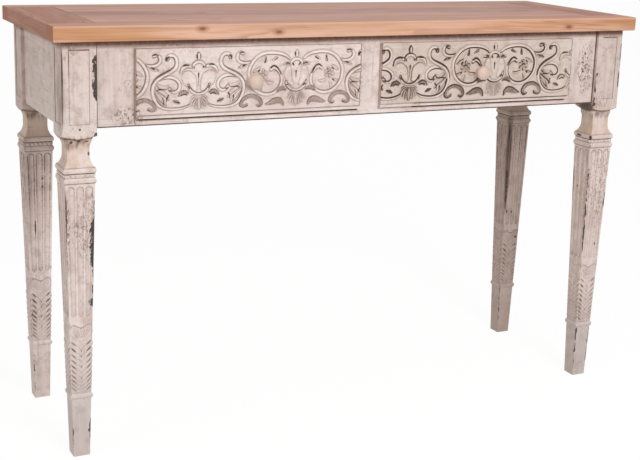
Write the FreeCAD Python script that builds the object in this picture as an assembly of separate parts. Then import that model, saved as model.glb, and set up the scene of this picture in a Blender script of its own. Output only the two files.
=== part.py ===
"""Pier table: a plank top on four square-turned fluted legs, with two carved drawers in its apron.

Sizes are in millimetres. X runs along the table, Y from front to back and Z up. The origin is on
the floor, in the middle of the whole table with its knobs.
"""
import FreeCAD, Part
import math
import os
from FreeCAD import Vector

# Overall sizes
TABLE_HEIGHT = 780.0
TOP_LENGTH = 1200.0
TOP_DEPTH = 390.0
TOP_THICKNESS = 27.0
TOP_OVERHANG = 17.0

# Plank top
BORDER_BOARD_WIDTH = 45.0
END_BOARD_WIDTH = 88.0
FIELD_BOARD_COUNT = 3
TONGUE_THICKNESS = 9.0
TONGUE_DEPTH = 8.0
TONGUE_END_GAP = 0.3
TONGUE_STOP = 20.0
TOP_EDGE_ROUND = 2.0

# Legs
LEG_BLOCK_WIDTH = 60.0
LEG_BLOCK_DROP = 17.0
SHOULDER_RISE = 5.0
NECK_HEIGHT = 50.0
NECK_FLARE_HEIGHT = 20.0
NECK_COVE_HEIGHT = 17.0
NECK_WIDTH = 38.5
NECK_TOP_WIDTH = 57.0
CAPITAL_WIDTH = 57.6
CAPITAL_MOULDING_HEIGHT = 10.0
CAPITAL_MOULDING_BULGE = 1.6
BEAD_BAND_HEIGHT = 8.0
BEAD_BAND_WIDTH = 52.6
SHAFT_TOP_WIDTH = 53.0
FOOT_WIDTH = 30.0
FOOT_HEIGHT = 111.0
COLLAR_HEIGHT = 11.0
COLLAR_BULGE = 2.5
CARVED_ZONE_HEIGHT = 145.0
FLUTE_COUNT = 3
FLUTE_DEPTH = 2.6
FLUTE_LAND = 4.5
FLUTE_TOP_GAP = 5.0
SUNK_PANEL_MARGIN = 12.0
SUNK_PANEL_TOP_MARGIN = 14.0
SUNK_PANEL_BOTTOM_MARGIN = 25.0
SUNK_PANEL_DEPTH = 1.0

# Aprons and the frame round the drawers
APRON_HEIGHT = 150.0
APRON_THICKNESS = 22.0
APRON_SETBACK = 6.0
TOP_RAIL_HEIGHT = 23.0
BOTTOM_RAIL_HEIGHT = 21.5
SIDE_STILE_WIDTH = 76.0
CENTRE_STILE_WIDTH = 60.0

# Mortise and tenon joints
TENON_LENGTH = 24.0
TENON_THICKNESS = 10.0
TENON_SHOULDER = 20.0
RAIL_TENON_SHOULDER = 4.0
STUB_TENON_LENGTH = 8.0
STUB_TENON_SHOULDER = 5.0
MORTISE_END_GAP = 0.8
RAIL_DOVETAIL_DEPTH = 12.0
RAIL_DOVETAIL_FLARE = 3.0

# Runners, guides and kickers
RUNNER_HEIGHT = 18.0
RUNNER_LEDGE = 16.0
GUIDE_WIDTH = 24.0
GUIDE_HEIGHT = 18.0
KICKER_LEDGE = 20.0

# Drawers
DRAWER_BACK_GAP = 36.0
DRAWER_SIDE_THICKNESS = 12.0
DRAWER_SIDE_GAP = 1.0
DRAWER_LIFT = 0.3
DRAWER_TOP_GAP = 5.0
DRAWER_LIP = 8.0
LIP_THICKNESS = 8.0
LIP_GAP = 0.3
FRONT_INNER_THICKNESS = 12.0
CARVED_PANEL_THICKNESS = 6.0
CARVED_PANEL_RIM = 6.5
DOVETAIL_COUNT = 3
DOVETAIL_LENGTH = 9.0
DOVETAIL_NECK = 17.0
DOVETAIL_SLOPE = 1.0 / 6.0
BOTTOM_THICKNESS = 5.0
BOTTOM_GROOVE_DEPTH = 6.0
BOTTOM_GROOVE_HEIGHT = 10.0
BOTTOM_FIT = 0.2

# Knobs
KNOB_DIAMETER = 28.0
KNOB_LENGTH = 19.0
KNOB_RIM_RADIUS = 6.0
KNOB_RIM_TURN = math.radians(50)
KNOB_BASE_DIAMETER = 18.0
KNOB_BASE_HEIGHT = 3.0
KNOB_NECK_DIAMETER = 14.0

# Fasteners
SCREW_FIT = 0.1
KNOB_SCREW_DIAMETER = 4.0
KNOB_SCREW_HEAD_DIAMETER = 9.0
KNOB_SCREW_HEAD_HEIGHT = 2.5
KNOB_SCREW_GRIP = 14.0
TOP_SCREW_DIAMETER = 4.5
TOP_SCREW_HEAD_DIAMETER = 9.0
TOP_SCREW_GRIP = 17.0
NAIL_DIAMETER = 2.0
NAIL_HEAD_DIAMETER = 4.5
NAIL_HEAD_HEIGHT = 1.0
NAIL_GRIP = 14.0
NAIL_COUNT = 3

# Heights worked out from the sizes above
top_underside = TABLE_HEIGHT - TOP_THICKNESS
apron_bottom = top_underside - APRON_HEIGHT
block_bottom = apron_bottom - LEG_BLOCK_DROP
capital_top = block_bottom - NECK_HEIGHT
bead_band_top = capital_top - CAPITAL_MOULDING_HEIGHT
bead_band_bottom = bead_band_top - BEAD_BAND_HEIGHT
shaft_top = bead_band_bottom - CAPITAL_MOULDING_HEIGHT
collar_top = FOOT_HEIGHT + COLLAR_HEIGHT
opening_bottom = apron_bottom + BOTTOM_RAIL_HEIGHT
opening_top = top_underside - TOP_RAIL_HEIGHT

# Front-to-back places: the knobs reach past the top, and the origin is midway
knob_reach = LIP_GAP + LIP_THICKNESS + CARVED_PANEL_THICKNESS + KNOB_LENGTH
knob_past_top = max(0.0, knob_reach - APRON_SETBACK - TOP_OVERHANG)
top_back = (TOP_DEPTH + knob_past_top) / 2
top_front = top_back - TOP_DEPTH
block_front = top_front + TOP_OVERHANG
block_back = top_back - TOP_OVERHANG
front_leg_back = block_front + LEG_BLOCK_WIDTH
back_leg_front = block_back - LEG_BLOCK_WIDTH
apron_face = block_front + APRON_SETBACK
frame_back = apron_face + APRON_THICKNESS
back_apron_outer = block_back - APRON_SETBACK
back_apron_inner = back_apron_outer - APRON_THICKNESS
strip_tenon_length = (APRON_THICKNESS - TENON_THICKNESS) / 2 - 2 * MORTISE_END_GAP

# Places along the table, for the right half
block_outer = TOP_LENGTH / 2 - TOP_OVERHANG
block_inner = block_outer - LEG_BLOCK_WIDTH
side_apron_outer = block_outer - APRON_SETBACK
side_apron_inner = side_apron_outer - APRON_THICKNESS
opening_inner = CENTRE_STILE_WIDTH / 2
opening_outer = block_inner - SIDE_STILE_WIDTH


def box(x, y, z):
    """A block between the low and high ends given for each axis."""
    size = [max(ends) - min(ends) for ends in (x, y, z)]
    return Part.makeBox(*size, Vector(min(x), min(y), min(z)))


def prism(corners, along):
    """A flat outline pushed along a vector."""
    return Part.Face(Part.makePolygon(corners + corners[:1])).extrude(along)


def centred(middle, width):
    return (middle - width / 2, middle + width / 2)


def turned(profile, place, axis):
    """A round piece from (radius, height) points; a third item is the middle point of an arc."""
    edges = []
    here = Vector(profile[0][0], 0, profile[0][1])
    for step in profile[1:]:
        there = Vector(step[0], 0, step[1])
        if len(step) == 3:
            edges.append(Part.Arc(here, Vector(step[2][0], 0, step[2][1]), there).toShape())
        else:
            edges.append(Part.makeLine(here, there))
        here = there
    edges.append(Part.makeLine(here, Vector(profile[0][0], 0, profile[0][1])))
    piece = Part.Face(Part.Wire(edges)).revolve(Vector(), Vector(0, 0, 1), 360)
    piece.Placement = FreeCAD.Placement(place, FreeCAD.Rotation(Vector(0, 0, 1), axis))
    return piece


def joined(first, *others):
    return first.fuse(list(others)).removeSplitter()


def carved(piece, *tools):
    return piece.cut(list(tools)).removeSplitter()


def screw(place, axis, length, diameter, head_diameter, head_height, fit=0.0):
    """A screw with its head's flat at place and its shank along axis; fit makes its hole instead."""
    shank = diameter / 2 + fit
    head = head_diameter / 2 + fit
    countersunk = head_height is None
    head_end = head - shank if countersunk else head_height
    head_foot = shank if countersunk else head
    profile = [(0, 0), (head, 0), (head_foot, head_end)]
    if not countersunk:
        profile.append((shank, head_end))
    profile += [(shank, length + fit), (0, length + fit)]
    return turned(profile, place, axis)


# Leg

def shaft_half(z):
    """Half the width of the straight tapered leg at a height."""
    return FOOT_WIDTH / 2 + (SHAFT_TOP_WIDTH - FOOT_WIDTH) / 2 * z / shaft_top


def cove(waist, end):
    """The middle point of a hollow arc that leaves the waist upright and runs out to the end."""
    out = end[0] - waist[0]
    rise = end[1] - waist[1]
    radius = (out * out + rise * rise) / (2 * out)
    half_turn = math.asin(min(1.0, abs(rise) / radius)) / 2
    return (waist[0] + radius * (1 - math.cos(half_turn)),
            waist[1] + math.copysign(radius * math.sin(half_turn), rise))


def leg_silhouette():
    """Right side of the leg from the floor up, as (half width, height, middle point of an arc)."""
    mould_root = CAPITAL_WIDTH / 2 - CAPITAL_MOULDING_BULGE
    band = BEAD_BAND_WIDTH / 2
    lower_waist = (NECK_WIDTH / 2, capital_top + NECK_FLARE_HEIGHT)
    upper_waist = (NECK_WIDTH / 2, block_bottom - NECK_COVE_HEIGHT)
    neck_foot = (band, capital_top)
    neck_head = (NECK_TOP_WIDTH / 2, block_bottom)
    collar_middle = FOOT_HEIGHT + COLLAR_HEIGHT / 2
    return [
        (FOOT_WIDTH / 2, 0),
        (shaft_half(FOOT_HEIGHT), FOOT_HEIGHT),
        (shaft_half(collar_top), collar_top, (shaft_half(collar_middle) + COLLAR_BULGE, collar_middle)),
        (SHAFT_TOP_WIDTH / 2, shaft_top),
        (mould_root, shaft_top),
        (mould_root, bead_band_bottom, (CAPITAL_WIDTH / 2, (shaft_top + bead_band_bottom) / 2)),
        (band, bead_band_bottom),
        (band, bead_band_top),
        (mould_root, bead_band_top),
        (mould_root, capital_top, (CAPITAL_WIDTH / 2, (bead_band_top + capital_top) / 2)),
        neck_foot,
        lower_waist + (cove(lower_waist, neck_foot),),
        upper_waist,
        neck_head + (cove(upper_waist, neck_head),),
        (NECK_TOP_WIDTH / 2, block_bottom + SHOULDER_RISE),
    ]


def silhouette_slab(silhouette):
    """The leg seen from the front, pushed through the leg's full thickness."""
    edges = []
    for side in (1, -1):
        here = None
        for step in silhouette:
            there = Vector(side * step[0], 0, step[1])
            if here is not None and len(step) == 3:
                middle = Vector(side * step[2][0], 0, step[2][1])
                edges.append(Part.Arc(here, middle, there).toShape())
            elif here is not None:
                edges.append(Part.makeLine(here, there))
            here = there
    for half, z in (silhouette[0], silhouette[-1]):
        edges.append(Part.makeLine(Vector(-half, 0, z), Vector(half, 0, z)))
    face = Part.Face(Part.Wire(Part.__sortEdges__(edges)))
    face.translate(Vector(0, -LEG_BLOCK_WIDTH / 2, 0))
    return face.extrude(Vector(0, LEG_BLOCK_WIDTH, 0))


def flute(across):
    """The cutter of one tapered flute on the leg's front, across steps from the middle one."""
    ends = []
    for z in (collar_top + CARVED_ZONE_HEIGHT, shaft_top - FLUTE_TOP_GAP):
        width = (2 * shaft_half(z) - (FLUTE_COUNT + 1) * FLUTE_LAND) / FLUTE_COUNT
        radius = (width * width / 4 + FLUTE_DEPTH * FLUTE_DEPTH) / (2 * FLUTE_DEPTH)
        inset = width / 2 if not ends else -width / 2
        place = Vector(across * (width + FLUTE_LAND), -shaft_half(z) - radius + FLUTE_DEPTH, z + inset)
        ends.append((place, radius))
    (low, low_radius), (high, high_radius) = ends
    axis = high - low
    lean = math.asin((high_radius - low_radius) / axis.Length)
    middle = math.pi / 4
    low_foot = (low_radius * math.cos(lean), -low_radius * math.sin(lean))
    high_foot = (high_radius * math.cos(lean), axis.Length - high_radius * math.sin(lean))
    low_round = (low_radius * math.sin(middle), -low_radius * math.cos(middle))
    high_round = (high_radius * math.cos(middle), axis.Length + high_radius * math.sin(middle))
    profile = [(0, -low_radius), low_foot + (low_round,), high_foot]
    profile.append((0, axis.Length + high_radius, high_round))
    return turned(profile, low, axis)


def leg_blank():
    """A leg on the Z axis, its neck turned round under the block, with sunk panels to the front and left."""
    silhouette = leg_silhouette()
    slab = silhouette_slab(silhouette)
    crossing = slab.copy()
    crossing.rotate(Vector(), Vector(0, 0, 1), 90)
    half = LEG_BLOCK_WIDTH / 2
    shoulder_top = block_bottom + SHOULDER_RISE
    shoulder = Part.makeCone(half, half * math.sqrt(2), SHOULDER_RISE, Vector(0, 0, block_bottom))
    shoulder = shoulder.common(box((-half, half), (-half, half), (block_bottom, shoulder_top)))
    block = box((-half, half), (-half, half), (shoulder_top, top_underside))
    cove_foot = block_bottom - NECK_COVE_HEIGHT
    round_neck = Part.makeCylinder(half, NECK_COVE_HEIGHT, Vector(0, 0, cove_foot))
    neck_corners = carved(box((-half, half), (-half, half), (cove_foot, shoulder_top)), round_neck, shoulder)
    leg = joined(carved(slab.common(crossing), neck_corners), shoulder, block)
    cutters = []
    for quarter in range(4):
        for index in range(FLUTE_COUNT):
            cutter = flute(index - (FLUTE_COUNT - 1) / 2)
            cutter.rotate(Vector(), Vector(0, 0, 1), 90 * quarter)
            cutters.append(cutter)
    reach = half - SUNK_PANEL_MARGIN
    panel_height = (block_bottom + SUNK_PANEL_BOTTOM_MARGIN, top_underside - SUNK_PANEL_TOP_MARGIN)
    cutters.append(box((-reach, reach), (-half, -half + SUNK_PANEL_DEPTH), panel_height))
    cutters.append(box((-half, -half + SUNK_PANEL_DEPTH), (-reach, reach), panel_height))
    return carved(leg, *cutters)


# Aprons, rails and stiles, each with its tenons and the mortises that they need

def end_tenons(x, y, z, along, length):
    """Boxes past both ends of a board along one axis; x, y and z are the tenon's section."""
    ends = {"x": x, "y": y, "z": z}
    low, high = ends[along]
    tenons = []
    for reach in ((low - length, low), (high, high + length)):
        ends[along] = reach
        tenons.append(box(ends["x"], ends["y"], ends["z"]))
    return tenons


def tenoned(board, x, y, z, along, length):
    """A board with end tenons, and the mortises that take them."""
    tenons = end_tenons(x, y, z, along, length)
    mortises = end_tenons(x, y, z, along, length + MORTISE_END_GAP)
    return joined(board, *tenons), mortises


def shrunk(ends, shoulder):
    return (ends[0] + shoulder, ends[1] - shoulder)


def stand():
    """Legs, aprons and the front frame."""
    apron_z = (apron_bottom, top_underside)
    tenon_z = shrunk(apron_z, TENON_SHOULDER)
    between_legs = (-block_inner, block_inner)
    frame_y = (apron_face, frame_back)
    frame_tenon_y = centred(sum(frame_y) / 2, TENON_THICKNESS)
    pieces = {}
    leg_mortises = []

    for side, name in ((-1, "apron_left"), (1, "apron_right")):
        x = (side * side_apron_outer, side * side_apron_inner)
        y = (front_leg_back, back_leg_front)
        tenon_x = centred(sum(x) / 2, TENON_THICKNESS)
        pieces[name], mortises = tenoned(box(x, y, apron_z), tenon_x, y, tenon_z, "y", TENON_LENGTH)
        leg_mortises += mortises

    back_y = (back_apron_inner, back_apron_outer)
    tenon_y = centred(sum(back_y) / 2, TENON_THICKNESS)
    pieces["apron_back"], mortises = tenoned(
        box(between_legs, back_y, apron_z), between_legs, tenon_y, tenon_z, "x", TENON_LENGTH)
    leg_mortises += mortises

    rail_z = (apron_bottom, opening_bottom)
    pieces["front_bottom_rail"], mortises = tenoned(
        box(between_legs, frame_y, rail_z), between_legs, frame_tenon_y,
        shrunk(rail_z, RAIL_TENON_SHOULDER), "x", TENON_LENGTH)
    leg_mortises += mortises

    top_rail = box(between_legs, frame_y, (opening_top, top_underside))
    for side in (-1, 1):
        dovetails = []
        for length in (TENON_LENGTH, TENON_LENGTH + MORTISE_END_GAP):
            far = side * (block_inner + length)
            wide = shrunk(frame_tenon_y, -RAIL_DOVETAIL_FLARE)
            z = top_underside - RAIL_DOVETAIL_DEPTH
            corners = [Vector(side * block_inner, frame_tenon_y[0], z), Vector(far, wide[0], z),
                       Vector(far, wide[1], z), Vector(side * block_inner, frame_tenon_y[1], z)]
            dovetails.append(prism(corners, Vector(0, 0, RAIL_DOVETAIL_DEPTH)))
        top_rail = joined(top_rail, dovetails[0])
        leg_mortises += dovetails
    pieces["front_top_rail"] = top_rail

    stiles = {"front_left_stile": (-block_inner, -opening_outer),
              "front_centre_stile": (-opening_inner, opening_inner),
              "front_right_stile": (opening_outer, block_inner)}
    for name, x in stiles.items():
        z = (opening_bottom, opening_top)
        pieces[name], mortises = tenoned(
            box(x, frame_y, z), shrunk(x, TENON_SHOULDER), frame_tenon_y, z, "z", STUB_TENON_LENGTH)
        for rail in ("front_bottom_rail", "front_top_rail"):
            pieces[rail] = carved(pieces[rail], *mortises)

    blank = leg_blank()
    corners = {"leg_front_left": (-1, block_front), "leg_front_right": (1, block_front),
               "leg_back_right": (1, back_leg_front), "leg_back_left": (-1, back_leg_front)}
    for quarter, (name, (side, front)) in enumerate(corners.items()):
        leg = blank.copy()
        leg.rotate(Vector(), Vector(0, 0, 1), 90 * quarter)
        leg.translate(Vector(side * (block_inner + block_outer) / 2, front + LEG_BLOCK_WIDTH / 2, 0))
        pieces[name] = carved(leg, *leg_mortises)
    return pieces


# Runners, guides, kickers and the screws that hold the top

def drawer_carriage(stand_pieces, top_pieces):
    """The strips that carry and steady the drawers, let into the frame and the back apron."""
    pieces = {}
    between = (frame_back, back_apron_inner)
    inner_guide = (-opening_inner, opening_inner)
    outer_guide = (opening_outer, opening_outer + GUIDE_WIDTH)
    guides = {"left": (-outer_guide[1], -outer_guide[0]), "centre": inner_guide, "right": outer_guide}
    screws = []
    screw_holes = []
    for place, guide_x in guides.items():
        open_low = place != "left"
        open_high = place != "right"
        runner_x = (guide_x[0] - RUNNER_LEDGE * open_low, guide_x[1] + RUNNER_LEDGE * open_high)
        kicker_x = (guide_x[0] - KICKER_LEDGE * open_low, guide_x[1] + KICKER_LEDGE * open_high)
        strips = {"runner": (runner_x, (opening_bottom - RUNNER_HEIGHT, opening_bottom), "front_bottom_rail"),
                  "kicker": (kicker_x, (opening_top, top_underside), "front_top_rail")}
        for kind, (x, z, rail) in strips.items():
            strip, mortises = tenoned(
                box(x, between, z), shrunk(x, STUB_TENON_SHOULDER), between,
                shrunk(z, STUB_TENON_SHOULDER), "y", strip_tenon_length)
            pieces[kind + "_" + place] = strip
            for holder in (rail, "apron_back"):
                stand_pieces[holder] = carved(stand_pieces[holder], *mortises)
        guide_z = (opening_bottom, opening_bottom + GUIDE_HEIGHT)
        pieces["guide_" + place] = box(guide_x, between, guide_z)

        for board_y in field_board_ends():
            spot = Vector(sum(kicker_x) / 2, sum(board_y) / 2, opening_top)
            length = TOP_RAIL_HEIGHT + TOP_SCREW_GRIP
            sizes = (length, TOP_SCREW_DIAMETER, TOP_SCREW_HEAD_DIAMETER, None)
            screws.append(screw(spot, Vector(0, 0, 1), *sizes))
            screw_holes.append(screw(spot, Vector(0, 0, 1), *sizes, fit=SCREW_FIT))
    for place in guides:
        pieces["kicker_" + place] = carved(pieces["kicker_" + place], *screw_holes)
    for name in top_pieces:
        if "field" in name:
            top_pieces[name] = carved(top_pieces[name], *screw_holes)
    pieces["top_screws"] = Part.makeCompound(screws)
    return pieces


# Plank top

def field_board_ends():
    """Front and back edge of each long board between the border boards."""
    first = top_front + BORDER_BOARD_WIDTH
    width = (TOP_DEPTH - 2 * BORDER_BOARD_WIDTH) / FIELD_BOARD_COUNT
    return [(first + index * width, first + (index + 1) * width) for index in range(FIELD_BOARD_COUNT)]


def rounded_outside(board):
    """Softens the edges of a board that lie on the outside of the top."""
    half_length = TOP_LENGTH / 2
    outside = []
    for edge in board.Edges:
        middle = edge.CenterOfMass
        level = min(abs(middle.z - TABLE_HEIGHT), abs(middle.z - top_underside))
        rim = min(half_length - abs(middle.x), top_back - middle.y, middle.y - top_front)
        if level < 0.001 and rim < 0.001:
            outside.append(edge)
    return board.makeFillet(TOP_EDGE_ROUND, outside)


def plank_top():
    """Border boards all round, and long boards between them, tongued into each other."""
    half_length = TOP_LENGTH / 2
    field_half = half_length - END_BOARD_WIDTH
    z = (top_underside, TABLE_HEIGHT)
    tongue_z = centred(sum(z) / 2, TONGUE_THICKNESS)
    fields = field_board_ends()
    inside = (fields[0][0], fields[-1][1])
    pieces = {}
    pieces["top_front_board"] = rounded_outside(box((-half_length, half_length), (top_front, inside[0]), z))
    pieces["top_back_board"] = rounded_outside(box((-half_length, half_length), (inside[1], top_back), z))

    for side, name in ((-1, "top_left_end_board"), (1, "top_right_end_board")):
        x = (side * field_half, side * half_length)
        tongue_x = (side * field_half, side * (half_length - TONGUE_STOP))
        board = rounded_outside(box(x, inside, z))
        tongues = end_tenons(tongue_x, inside, tongue_z, "y", TONGUE_DEPTH)
        grooves = end_tenons(tongue_x, inside, tongue_z, "y", TONGUE_DEPTH + TONGUE_END_GAP)
        pieces[name] = joined(board, *tongues)
        for border in ("top_front_board", "top_back_board"):
            pieces[border] = carved(pieces[border], *grooves)

    field_x = (-field_half, field_half)
    in_front = "top_front_board"
    for index, y in enumerate(fields):
        name = "top_field_board_" + str(index + 1)
        last = index == len(fields) - 1
        end_y = shrunk(y, TONGUE_STOP)
        lengthwise = end_tenons(field_x, end_y, tongue_z, "x", TONGUE_DEPTH)
        end_grooves = end_tenons(field_x, end_y, tongue_z, "x", TONGUE_DEPTH + TONGUE_END_GAP)
        edge_tongues = end_tenons(field_x, y, tongue_z, "y", TONGUE_DEPTH)
        edge_grooves = end_tenons(field_x, y, tongue_z, "y", TONGUE_DEPTH + TONGUE_END_GAP)
        tongues = edge_tongues if last else edge_tongues[:1]
        pieces[name] = joined(box(field_x, y, z), *(lengthwise + tongues))
        pieces[in_front] = carved(pieces[in_front], edge_grooves[0])
        if last:
            pieces["top_back_board"] = carved(pieces["top_back_board"], edge_grooves[1])
        for end_board in ("top_left_end_board", "top_right_end_board"):
            pieces[end_board] = carved(pieces[end_board], *end_grooves)
        in_front = name
    return pieces


# Drawers

def dovetails(x, root, tip, z):
    """Tails across one board's thickness, spread over a height, from their root to their wide tip."""
    pitch = (z[1] - z[0]) / DOVETAIL_COUNT
    flare = abs(tip - root) * DOVETAIL_SLOPE
    tails = []
    for index in range(DOVETAIL_COUNT):
        middle = z[0] + (index + 0.5) * pitch
        neck = centred(middle, DOVETAIL_NECK)
        wide = shrunk(neck, -flare)
        corners = [Vector(x[0], root, neck[0]), Vector(x[0], tip, wide[0]),
                   Vector(x[0], tip, wide[1]), Vector(x[0], root, neck[1])]
        tails.append(prism(corners, Vector(x[1] - x[0], 0, 0)))
    return tails


def knob(place):
    """A flattened ball on a short waisted foot, pointing to the front."""
    head = KNOB_DIAMETER / 2
    neck = KNOB_NECK_DIAMETER / 2
    foot = KNOB_BASE_DIAMETER / 2
    rim_middle = head - KNOB_RIM_RADIUS
    across, up = math.cos(KNOB_RIM_TURN), math.sin(KNOB_RIM_TURN)
    dome_radius = rim_middle / across + KNOB_RIM_RADIUS
    dome_middle = KNOB_LENGTH - dome_radius
    widest = dome_middle + (dome_radius - KNOB_RIM_RADIUS) * up
    half_turn = (KNOB_RIM_TURN + math.pi / 2) / 2
    underside = (rim_middle, widest - KNOB_RIM_RADIUS)
    rim_top = (dome_radius * across, dome_middle + dome_radius * up)
    dome_side = (dome_radius * math.cos(half_turn), dome_middle + dome_radius * math.sin(half_turn))
    profile = [(0, 0), (foot, 0), (foot, KNOB_BASE_HEIGHT), (neck, underside[1]), underside,
               rim_top + ((head, widest),), (0, KNOB_LENGTH, dome_side)]
    return turned(profile, place, Vector(0, -1, 0))


def drawer(side, low, high):
    """One lipped drawer in the opening between two places along X."""
    x = (low + DRAWER_SIDE_GAP, high - DRAWER_SIDE_GAP)
    z = (opening_bottom + DRAWER_LIFT, opening_top - DRAWER_TOP_GAP)
    lip_x = (low - DRAWER_LIP, high + DRAWER_LIP)
    lip_z = (opening_bottom - DRAWER_LIP, opening_top + DRAWER_LIP)
    lip_back = apron_face - LIP_GAP
    lip_front = lip_back - LIP_THICKNESS
    panel_face = lip_front - CARVED_PANEL_THICKNESS
    inner_face = lip_back + FRONT_INNER_THICKNESS
    back_end = back_apron_inner - DRAWER_BACK_GAP
    back_inner = back_end - DRAWER_SIDE_THICKNESS
    groove_z = (z[0] + BOTTOM_GROOVE_HEIGHT, z[0] + BOTTOM_GROOVE_HEIGHT + BOTTOM_THICKNESS + BOTTOM_FIT)
    back_z = (groove_z[1], z[1])

    inside_x = shrunk(x, DRAWER_SIDE_THICKNESS)
    groove_x = shrunk(inside_x, -BOTTOM_GROOVE_DEPTH)
    groove = box(groove_x, (inner_face - BOTTOM_GROOVE_DEPTH, back_end), groove_z)
    bottom = box(shrunk(groove_x, BOTTOM_FIT), (inner_face - BOTTOM_GROOVE_DEPTH + BOTTOM_FIT, back_end),
                 (groove_z[0], groove_z[0] + BOTTOM_THICKNESS))

    sides = []
    for side_x in ((x[0], inside_x[0]), (inside_x[1], x[1])):
        board = box(side_x, (inner_face, back_inner), z)
        below_back = box(side_x, (back_inner, back_end), (z[0], back_z[0]))
        tails = dovetails(side_x, inner_face, inner_face - DOVETAIL_LENGTH, z)
        tails += dovetails(side_x, back_inner, back_end, back_z)
        sides.append(joined(board, below_back, *tails))

    lip = box(lip_x, (lip_front, lip_back), lip_z)
    front = joined(lip, box(x, (lip_back, inner_face), z))
    panel = box(lip_x, (panel_face, lip_front), (lip_z[0] + CARVED_PANEL_RIM, lip_z[1]))
    back = carved(box(x, (back_inner, back_end), back_z), *sides)

    middle_x = (low + high) / 2
    middle_z = (opening_bottom + opening_top) / 2
    front_thickness = inner_face - panel_face
    screw_sizes = (KNOB_SCREW_HEAD_HEIGHT + front_thickness + KNOB_SCREW_GRIP, KNOB_SCREW_DIAMETER,
                   KNOB_SCREW_HEAD_DIAMETER, KNOB_SCREW_HEAD_HEIGHT)
    screw_place = Vector(middle_x, inner_face + KNOB_SCREW_HEAD_HEIGHT, middle_z)
    knob_screw = screw(screw_place, Vector(0, -1, 0), *screw_sizes)
    screw_hole = screw(screw_place, Vector(0, -1, 0), *screw_sizes, fit=SCREW_FIT)

    nails = []
    nail_holes = []
    nail_span = inside_x[1] - inside_x[0]
    for index in range(NAIL_COUNT):
        spot_x = inside_x[0] + (index + 0.5) * nail_span / NAIL_COUNT
        spot = Vector(spot_x, (back_inner + back_end) / 2, groove_z[0] - NAIL_HEAD_HEIGHT)
        length = NAIL_HEAD_HEIGHT + groove_z[1] - groove_z[0] + NAIL_GRIP
        nail_sizes = (length, NAIL_DIAMETER, NAIL_HEAD_DIAMETER, NAIL_HEAD_HEIGHT)
        nails.append(screw(spot, Vector(0, 0, 1), *nail_sizes))
        nail_holes.append(Part.makeCylinder(NAIL_DIAMETER / 2 + SCREW_FIT, length, spot))

    named = {
        "front": carved(front, groove, screw_hole, *sides),
        "carved_panel": carved(panel, screw_hole),
        "left_side": carved(sides[0], groove),
        "right_side": carved(sides[1], groove),
        "back": carved(back, *nail_holes),
        "bottom": carved(bottom, *nail_holes),
        "bottom_nails": Part.makeCompound(nails),
        "knob": carved(knob(Vector(middle_x, panel_face, middle_z)), screw_hole),
        "knob_screw": knob_screw,
    }
    return {side + "_drawer_" + name: shape for name, shape in named.items()}


pieces = stand()
top = plank_top()
pieces.update(drawer_carriage(pieces, top))
pieces.update(top)
pieces.update(drawer("left", -opening_outer, -opening_inner))
pieces.update(drawer("right", opening_inner, opening_outer))

os.makedirs("parts", exist_ok=True)
for name, shape in pieces.items():
    shape.exportStep("parts/" + name + ".step")
    print(name, len(shape.Solids), "solid(s), valid", shape.isValid(), "volume", round(shape.Volume))
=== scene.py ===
# %% [markdown]
# This lesson dresses a pier table: a long narrow table that stands against a wall.
# It has a pine plank top, an apron with two carved drawers, and four square tapered legs.
# The construction comes ready made, as a fixed frame of named boards.
# We never move those boards. We give each one a finish, and we add the carving that a carver would.

# %% Load the fixed frame
import math
from types import SimpleNamespace

import bmesh
import bpy
import numpy as np
from mathutils import Matrix, Vector


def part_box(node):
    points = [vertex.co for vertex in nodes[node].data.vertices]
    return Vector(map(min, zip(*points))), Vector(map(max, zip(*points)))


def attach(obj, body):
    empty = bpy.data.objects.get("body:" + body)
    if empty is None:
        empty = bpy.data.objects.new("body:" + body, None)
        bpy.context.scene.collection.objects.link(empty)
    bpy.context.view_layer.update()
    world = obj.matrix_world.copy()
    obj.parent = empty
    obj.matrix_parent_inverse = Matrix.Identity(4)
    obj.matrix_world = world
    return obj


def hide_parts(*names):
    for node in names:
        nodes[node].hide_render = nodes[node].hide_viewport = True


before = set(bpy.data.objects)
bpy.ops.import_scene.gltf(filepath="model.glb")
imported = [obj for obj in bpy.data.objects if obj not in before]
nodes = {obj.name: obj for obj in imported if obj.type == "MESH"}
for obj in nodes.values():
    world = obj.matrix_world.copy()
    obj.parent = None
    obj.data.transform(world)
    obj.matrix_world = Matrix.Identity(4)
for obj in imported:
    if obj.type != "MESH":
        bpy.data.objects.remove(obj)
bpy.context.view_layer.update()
MM = 0.001

# %% [markdown]
# The carver needs a few places on the frame. We read them from the boards' own boxes, so that the
# carving follows if a board changes. The legs are mirror images about the middle of the stand, so one leg
# of each row gives all four axes.

# %% Places on the stand
LEG_NAMES = ("leg_front_left", "leg_front_right", "leg_back_left", "leg_back_right")


def leg_axis(name):
    """Where a leg's axis meets the floor."""
    low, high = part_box(name)
    return (low.x + high.x) / 2, (low.y + high.y) / 2


leg_x, front_leg_y = leg_axis("leg_front_right")
back_leg_y = leg_axis("leg_back_right")[1]
stand_middle = (front_leg_y + back_leg_y) / 2
leg_reach = (back_leg_y - front_leg_y) / 2
leg_low, leg_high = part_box("leg_front_right")
block_half = (leg_high.x - leg_low.x) / 2
print("leg axes at x", round(leg_x, 4), "y", round(front_leg_y, 4), round(back_leg_y, 4))

# %% [markdown]
# The leg tapers evenly from a small foot to the moulded capital. Its half width is a straight line
# in height, which the leaf carving and the paint both use.

# %% The taper of the legs
FOOT_HALF = 15.0 * MM
CAPITAL_FOOT = 508.0 * MM
SHAFT_SPREAD = 11.5 * MM


def shaft_half(height):
    """Half the width of a leg's shaft at this height."""
    return FOOT_HALF + SHAFT_SPREAD * height / CAPITAL_FOOT


print("shaft half width at the capital:", round(shaft_half(CAPITAL_FOOT), 5))

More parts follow.
